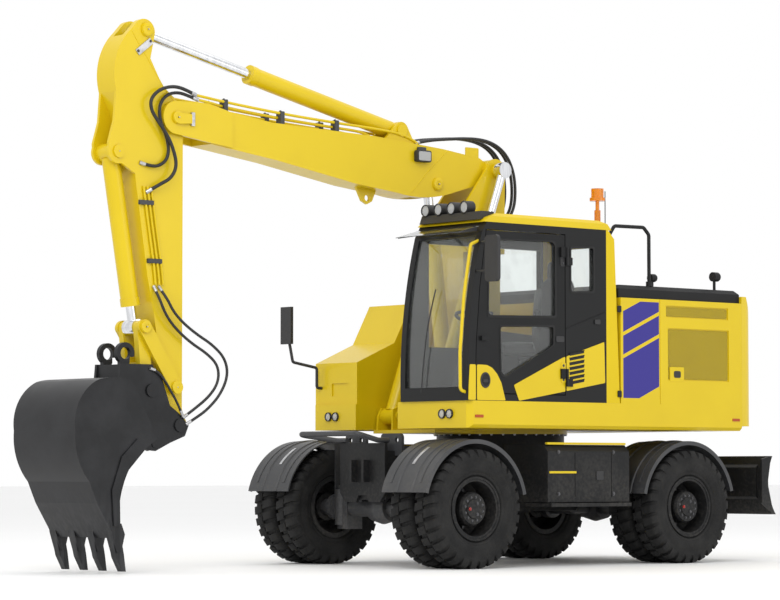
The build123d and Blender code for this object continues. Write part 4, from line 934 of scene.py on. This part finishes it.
boom_face_y = -0.015
head_seam = [(4.235, 4.630), (4.165, 4.531), (4.059, 4.393), (3.888, 4.156), (3.790, 4.062)]
weld("arm_head_weld", "arm", in_plane(-0.035, head_seam))
weld("boom_nose_weld", "upper_boom", in_plane(boom_face_y, [(3.19, 3.70), (3.19, 4.0)]))
weld("boom_tail_weld", "upper_boom", in_plane(boom_face_y, [(0.652, 3.840), (0.87, 3.64), (1.095, 3.420)]))

# Each row: name, body, outline, finish, middle y, depth, corner radius, soft edge
lock = [(4.202, 4.470), (4.165, 4.425), (4.015, 4.540), (4.052, 4.588)]
keeper = [(3.64, 3.868), (3.64, 3.948), (3.785, 3.960), (3.785, 3.856)]
keeper_end = oblong(3.606, 3.644, 3.848, 3.968)
lamp_foot = oblong(0.930, 1.022, 3.806, 3.850)
lamp_glass = oblong(0.904, 1.048, 3.722, 3.806)
bracket = [(0.254, 3.790), (0.254, 3.891), (0.418, 3.891), (0.418, 3.810)]
boom_plates = [
    ("arm_pin_lock", "arm", lock, zinc, -0.030, 0.012, 0.006, 0.002),
    ("boom_pin_keeper", "upper_boom", keeper, yellow_paint, 0.0315, 0.010, 0.008, 0.002),
    ("boom_pin_keeper_plate", "upper_boom", keeper_end, zinc, 0.020, 0.024, 0.006, 0.003),
    ("work_lamp_body", "upper_boom", oblong(0.890, 1.062, 3.709, 3.819), plastic, 0.016, 0.058, 0.022, 0.008),
    ("work_lamp_lens", "upper_boom", lamp_glass, clear_lens, 0.0455, 0.004, 0.016, 0.001),
    ("work_lamp_foot", "upper_boom", lamp_foot, dark_paint, -0.002, 0.030, 0.010, 0.002),
    ("hose_bracket", "upper_boom", bracket, yellow_paint, -0.020, 0.012, 0.012, 0.002),
]
for row in boom_plates:
    side_panel(*row)
bolts("arm_lock_bolts", "arm", [(4.175, -0.024, 4.462), (4.045, -0.024, 4.558)], (0, 1, 0), 0.010, 0.008)


def pin_face(name, body, place, side, radius):
    """A pin's end: chamfered rim, centre hole and a grease nipple."""
    r = radius
    rim = [(0.0, r), (0.006, r), (0.009, r * 0.92), (0.009, r * 0.5)]
    hole = [(0.006, r * 0.46), (0.006, r * 0.16), (0.0, r * 0.14)]
    settle(turned(rim + hole, place, (0, side, 0), 40), name, body, yellow_paint)
    nipple = [(0.0, 0.006), (0.012, 0.006), (0.014, 0.0035), (0.020, 0.0035), (0.022, 0.0)]
    seat = (place[0], place[1] + side * 0.004, place[2])
    settle(turned(nipple, seat, (0, side, 0), 12), f"{name}_nipple", body, zinc)


# Each row: name, body, the pin's x and z, half its length, radius
pin_rows = [
    ("arm_pin", "upper_boom", (3.785, 3.914), 0.193, 0.052),
    ("arm_eye", "arm", (4.079, 4.656), 0.146, 0.056),
    ("bucket_cylinder_pin", "arm", (4.370, 3.585), 0.130, 0.036),
    ("adjust_eye", "upper_boom", (0.770, 3.520), 0.164, 0.056),
    ("boom_hinge", "lower_boom", (0.090, 3.680), 0.2545, 0.056),
    ("lever_pin", "arm", (3.780, 1.580), 0.178, 0.036),
    ("bucket_eye", "tilt_levers", (4.115, 2.090), 0.194, 0.052),
]
for name, body, (x, z), reach, radius in pin_rows:
    for side, flank in flanks:
        pin_face(f"{name}_face_{flank}", body, (x, boom_y + side * reach, z), side, radius)


# Lamps, mirrors, visor and wiper of the cab and the deck
def round_lamp(name, place, axis, radius, deep):
    """A bezel and a bulged lens that sit on a face of the upper structure."""
    r = radius
    rim = [(0.0, r), (deep, r), (deep + 0.004, r * 0.95), (deep + 0.002, r * 0.86)]
    rim += [(deep - 0.006, r * 0.83), (0.0, r * 0.8)]
    settle(turned(rim, place, axis, 36), f"{name}_rim", "upper_structure", plastic)
    bulge = [(0.0, r * 0.84), (deep - 0.005, r * 0.84), (deep - 0.001, r * 0.6)]
    bulge += [(deep + 0.002, r * 0.25), (deep + 0.003, 0.0)]
    settle(turned(bulge, place, axis, 36), f"{name}_lens", "upper_structure", clear_lens)


for index, y in enumerate((0.430, 0.605, 0.780, 0.955)):
    round_lamp(f"roof_lamp_{index}", (1.300, y, 3.212), (1, 0, 0), 0.056, 0.010)
for index, (x, y) in enumerate(((1.498, 0.883), (1.498, 0.983), (1.270, -0.992), (1.270, -0.888))):
    round_lamp(f"deck_lamp_{index}", (x, y, 1.366), (1, 0, 0), 0.042, 0.018)
for index, (x, z, r) in enumerate(((-0.950, 2.662, 0.034), (-1.800, 2.707, 0.041))):
    round_lamp(f"rear_lamp_{index}", (x, 1.100, z), (-1, 0, 0), r, 0.008)
for side, hand in hands:
    for index, x in enumerate((1.385 if side > 0 else 1.160, -1.901)):
        shape = oblong(x - 0.050, x + 0.050, 1.330, 1.356)
        name = f"reflector_{hand}_{index}"
        side_panel(name, "upper_structure", shape, orange_lens, side * 1.2425, 0.006, 0.006, 0.0015)

left_face = rounded(oblong(1.375, 1.525, 2.535, 2.915), 0.035)
settle(cross_plate([left_face], 1.3942, 0.003), "left_mirror_glass", "upper_structure", mirror_face)
right_face = rounded(oblong(-1.320, -1.185, 2.062, 2.388), 0.020)
settle(cross_plate([right_face], 1.5542, 0.003), "right_mirror_glass", "upper_structure", mirror_face)
antenna = [(-0.340, 2.990), (-0.440, 2.995), (-0.507, 3.030), (-0.507, 3.250), (-0.507, 3.465)]
pipe("antenna", "upper_structure", in_plane(0.900, antenna), 0.0045, plastic)
visor = [(1.345, 3.031), (1.600, 2.959), (1.600, 2.953), (1.345, 3.025)]
settle(side_plate([visor], 0.780, 0.840), "rain_visor", "upper_structure", glass)
stay = [(1.345, 3.025), (1.590, 2.9555), (1.590, 2.948), (1.350, 2.985)]
for index, y in enumerate((0.385, 0.780, 1.175)):
    settle(side_plate([stay], y, 0.010), f"visor_stay_{index}", "upper_structure", plastic)
wiper = [(1.520, 0.620, 1.560), (1.528, 0.640, 1.700), (1.512, 0.700, 2.200), (1.470, 0.760, 2.480)]
pipe("wiper_arm", "upper_structure", wiper, 0.006, plastic)

# Undercarriage: slewing ring bolts, side box fittings and fender straps
ring = [(u, v, 1.200) for u, v in round_points(0.616, 36)]
bolts("slewing_ring_bolts", "upper_structure", ring, (0, 0, -1), 0.0098, 0.012, zinc)
latch = oblong(-0.173, -0.084, 0.777, 0.859)
strip = oblong(0.165, 0.500, 0.838, 0.858)
top_strip = oblong(0.500, -0.490, 1.098, 1.118)
# Each row: name, outline, finish, reach from the middle, depth, corner radius, soft edge
box_plates = [
    ("box_latch", latch, plastic, 1.204, 0.010, 0.012, 0.003),
    ("box_strip", strip, yellow_paint, 1.2015, 0.005, 0.004, 0.001),
    ("box_top_strip", top_strip, yellow_paint, 1.160, 0.030, 0.004, 0.001),
]
for side, hand in hands:
    spots = [(x, side * 1.200, z) for x in (0.386, -0.305) for z in (1.031, 0.652)]
    bolts(f"box_bolts_{hand}", "undercarriage", spots, (0, side, 0), 0.014, 0.010)
    for name, outline, finish, reach, *shape in box_plates:
        side_panel(f"{name}_{hand}", "undercarriage", outline, finish, side * reach, *shape)


def fender_strap(name, body, axle_x, y, start, end, finish):
    """A thin strap that follows a fender's curve between two angles."""
    outer_radius, inner_radius = 0.6165, 0.6115
    angles = [radians(start + (end - start) * i / 10) for i in range(11)]
    outer = [(axle_x + outer_radius * cos(a), axle_z + outer_radius * sin(a)) for a in angles]
    inner = [(axle_x + inner_radius * cos(a), axle_z + inner_radius * sin(a)) for a in reversed(angles)]
    settle(side_plate([outer + inner], y, 0.034, 0.001), name, body, finish)


fender_strap("fender_catch_left", "knuckle_left", 1.43, 0.950, 40, 62, zinc)
fender_strap("fender_catch_right", "knuckle_right", 1.43, -0.930, 40, 62, zinc)
for corner, (axle_x, side, _) in corners.items():
    carrier = {"front_left": "knuckle_left", "front_right": "knuckle_right"}.get(corner, "undercarriage")
    for index, y in enumerate((0.760, 1.150)):
        fender_strap(f"fender_rib_{corner}_{index}", carrier, axle_x, side * y, 22, 88, dark_paint)


# Seat: crowned cushions on a bellows
def cushion(name, place, size, finish, lean=0.0):
    """A padded block with crowned faces, rounded corners and sides that pull in."""
    roundness, crown_rise, pull_in = 5.0, 0.10, 0.05
    bpy.ops.mesh.primitive_cube_add(size=2.0)
    made = bpy.context.object
    bpy.ops.object.mode_set(mode="EDIT")
    bpy.ops.mesh.select_all(action="SELECT")
    bpy.ops.mesh.subdivide(number_cuts=9)
    bpy.ops.object.mode_set(mode="OBJECT")
    for vertex in made.data.vertices:
        x, y, z = vertex.co
        spread = sum(abs(c) ** roundness for c in (x, y, z)) ** (1.0 / roundness)
        crown = 1.0 + crown_rise * (1 - x * x) * (1 - y * y) * abs(z) ** 4
        pull = 1.0 - pull_in * (1 - abs(z)) * (abs(x) ** 6 + abs(y) ** 6) / 2
        place_in = (x * size[0] * pull, y * size[1] * pull, z * size[2] * crown)
        vertex.co = [c / spread / 2 for c in place_in]
    modifier = made.modifiers.new("soft", "SUBSURF")
    modifier.levels = 1
    pick(made)
    bpy.ops.object.modifier_apply(modifier="soft")
    made.rotation_euler = (0.0, lean, 0.0)
    made.location = place
    made = settle(made, name, "upper_structure", finish, 80.0)
    return made


seat_y = 0.760
base = cushion("seat_cushion", (0.265, seat_y, 1.972), (0.500, 0.480, 0.120), cloth)
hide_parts("seat")
cushion("seat_back", (0.000, seat_y, 2.330), (0.110, 0.420, 0.600), cloth, -0.085)
cushion("seat_headrest", (-0.030, seat_y, 2.712), (0.075, 0.250, 0.165), cloth, -0.06)
for side, hand in hands:
    back_side = (0.040, seat_y + side * 0.185, 2.300)
    cushion(f"seat_bolster_{hand}", back_side, (0.110, 0.080, 0.460), light_plastic, -0.085)
    cushion_side = (0.260, seat_y + side * 0.210, 1.992)
    cushion(f"seat_thigh_{hand}", cushion_side, (0.440, 0.075, 0.105), light_plastic)
folds = []
for i in range(9):
    z = 1.5225 + i * 0.044
    folds.extend([(z, 0.185), (z + 0.012, 0.200), (z + 0.030, 0.200), (z + 0.042, 0.185)])
bellows = turned([(1.518, 0.0)] + folds + [(1.915, 0.0)], (0.200, seat_y, 0.0), (0, 0, 1), 40)
settle(bellows, "seat_bellows", "upper_structure", seal_rubber)
for index, y in enumerate((0.700, 0.820)):
    stalk = in_plane(y, [(-0.024, 2.590), (-0.027, 2.620), (-0.029, 2.660)])
    pipe(f"headrest_stalk_{index}", "upper_structure", stalk, 0.007, zinc)


# Floor, light and camera
def pale_floor():
    """A wide pale floor that isn't part of the machine."""
    bpy.ops.mesh.primitive_plane_add(size=240.0, location=(0.0, 0.0, 0.0))
    floor = bpy.context.object
    floor.name = "floor"
    finish = Finish("floor_finish", Metallic=0.0, Roughness=0.65)
    cloud = finish.noise(0.15, 2.0)
    finish.set("Base Color", finish.mix(rgb(0.90, 0.90, 0.90), rgb(0.87, 0.87, 0.87), cloud))
    floor.data.materials.append(finish.material)
    deselect()


def facing(direction):
    """The turn of a lamp or camera that looks along a direction."""
    return Vector(direction).to_track_quat("-Z", "Y").to_euler()


def soft_light(name, place, target, size, power):
    """A large soft box that faces a point."""
    bpy.ops.object.light_add(type="AREA", location=place)
    light = bpy.context.object
    light.name = name
    light.data.shape = "RECTANGLE"
    light.data.size = size[0]
    light.data.size_y = size[1]
    light.data.energy = power
    light.rotation_euler = facing(Vector(target) - Vector(place))
    deselect()


bpy.context.scene.view_settings.view_transform = "Standard"
pale_floor()
soft_light("key_light", (13.0, 9.0, 11.0), (1.0, 0.0, 1.8), (9.0, 7.0), 880.0)
soft_light("fill_light", (-4.0, 17.0, 5.0), (0.0, 0.0, 1.5), (10.0, 6.0), 260.0)
soft_light("top_light", (0.0, 0.0, 14.0), (0.0, 0.0, 0.0), (14.0, 10.0), 350.0)

world = bpy.data.worlds.new("studio")
bpy.context.scene.world = world
world.use_nodes = True
world.node_tree.nodes["Background"].inputs["Color"].default_value = rgb(1.0, 1.0, 1.0)
world.node_tree.nodes["Background"].inputs["Strength"].default_value = 1.0

bpy.ops.object.camera_add(location=(19.3092, 21.1268, 0.8612))
camera = bpy.context.object
camera.name = "photo_camera"
camera.data.sensor_fit = "HORIZONTAL"
camera.data.sensor_width = 36.0
camera.data.lens = 140.18
camera.data.clip_end = 400.0
camera.rotation_euler = facing((-0.64642, -0.76091, 0.05615))
bpy.context.scene.camera = camera
deselect()
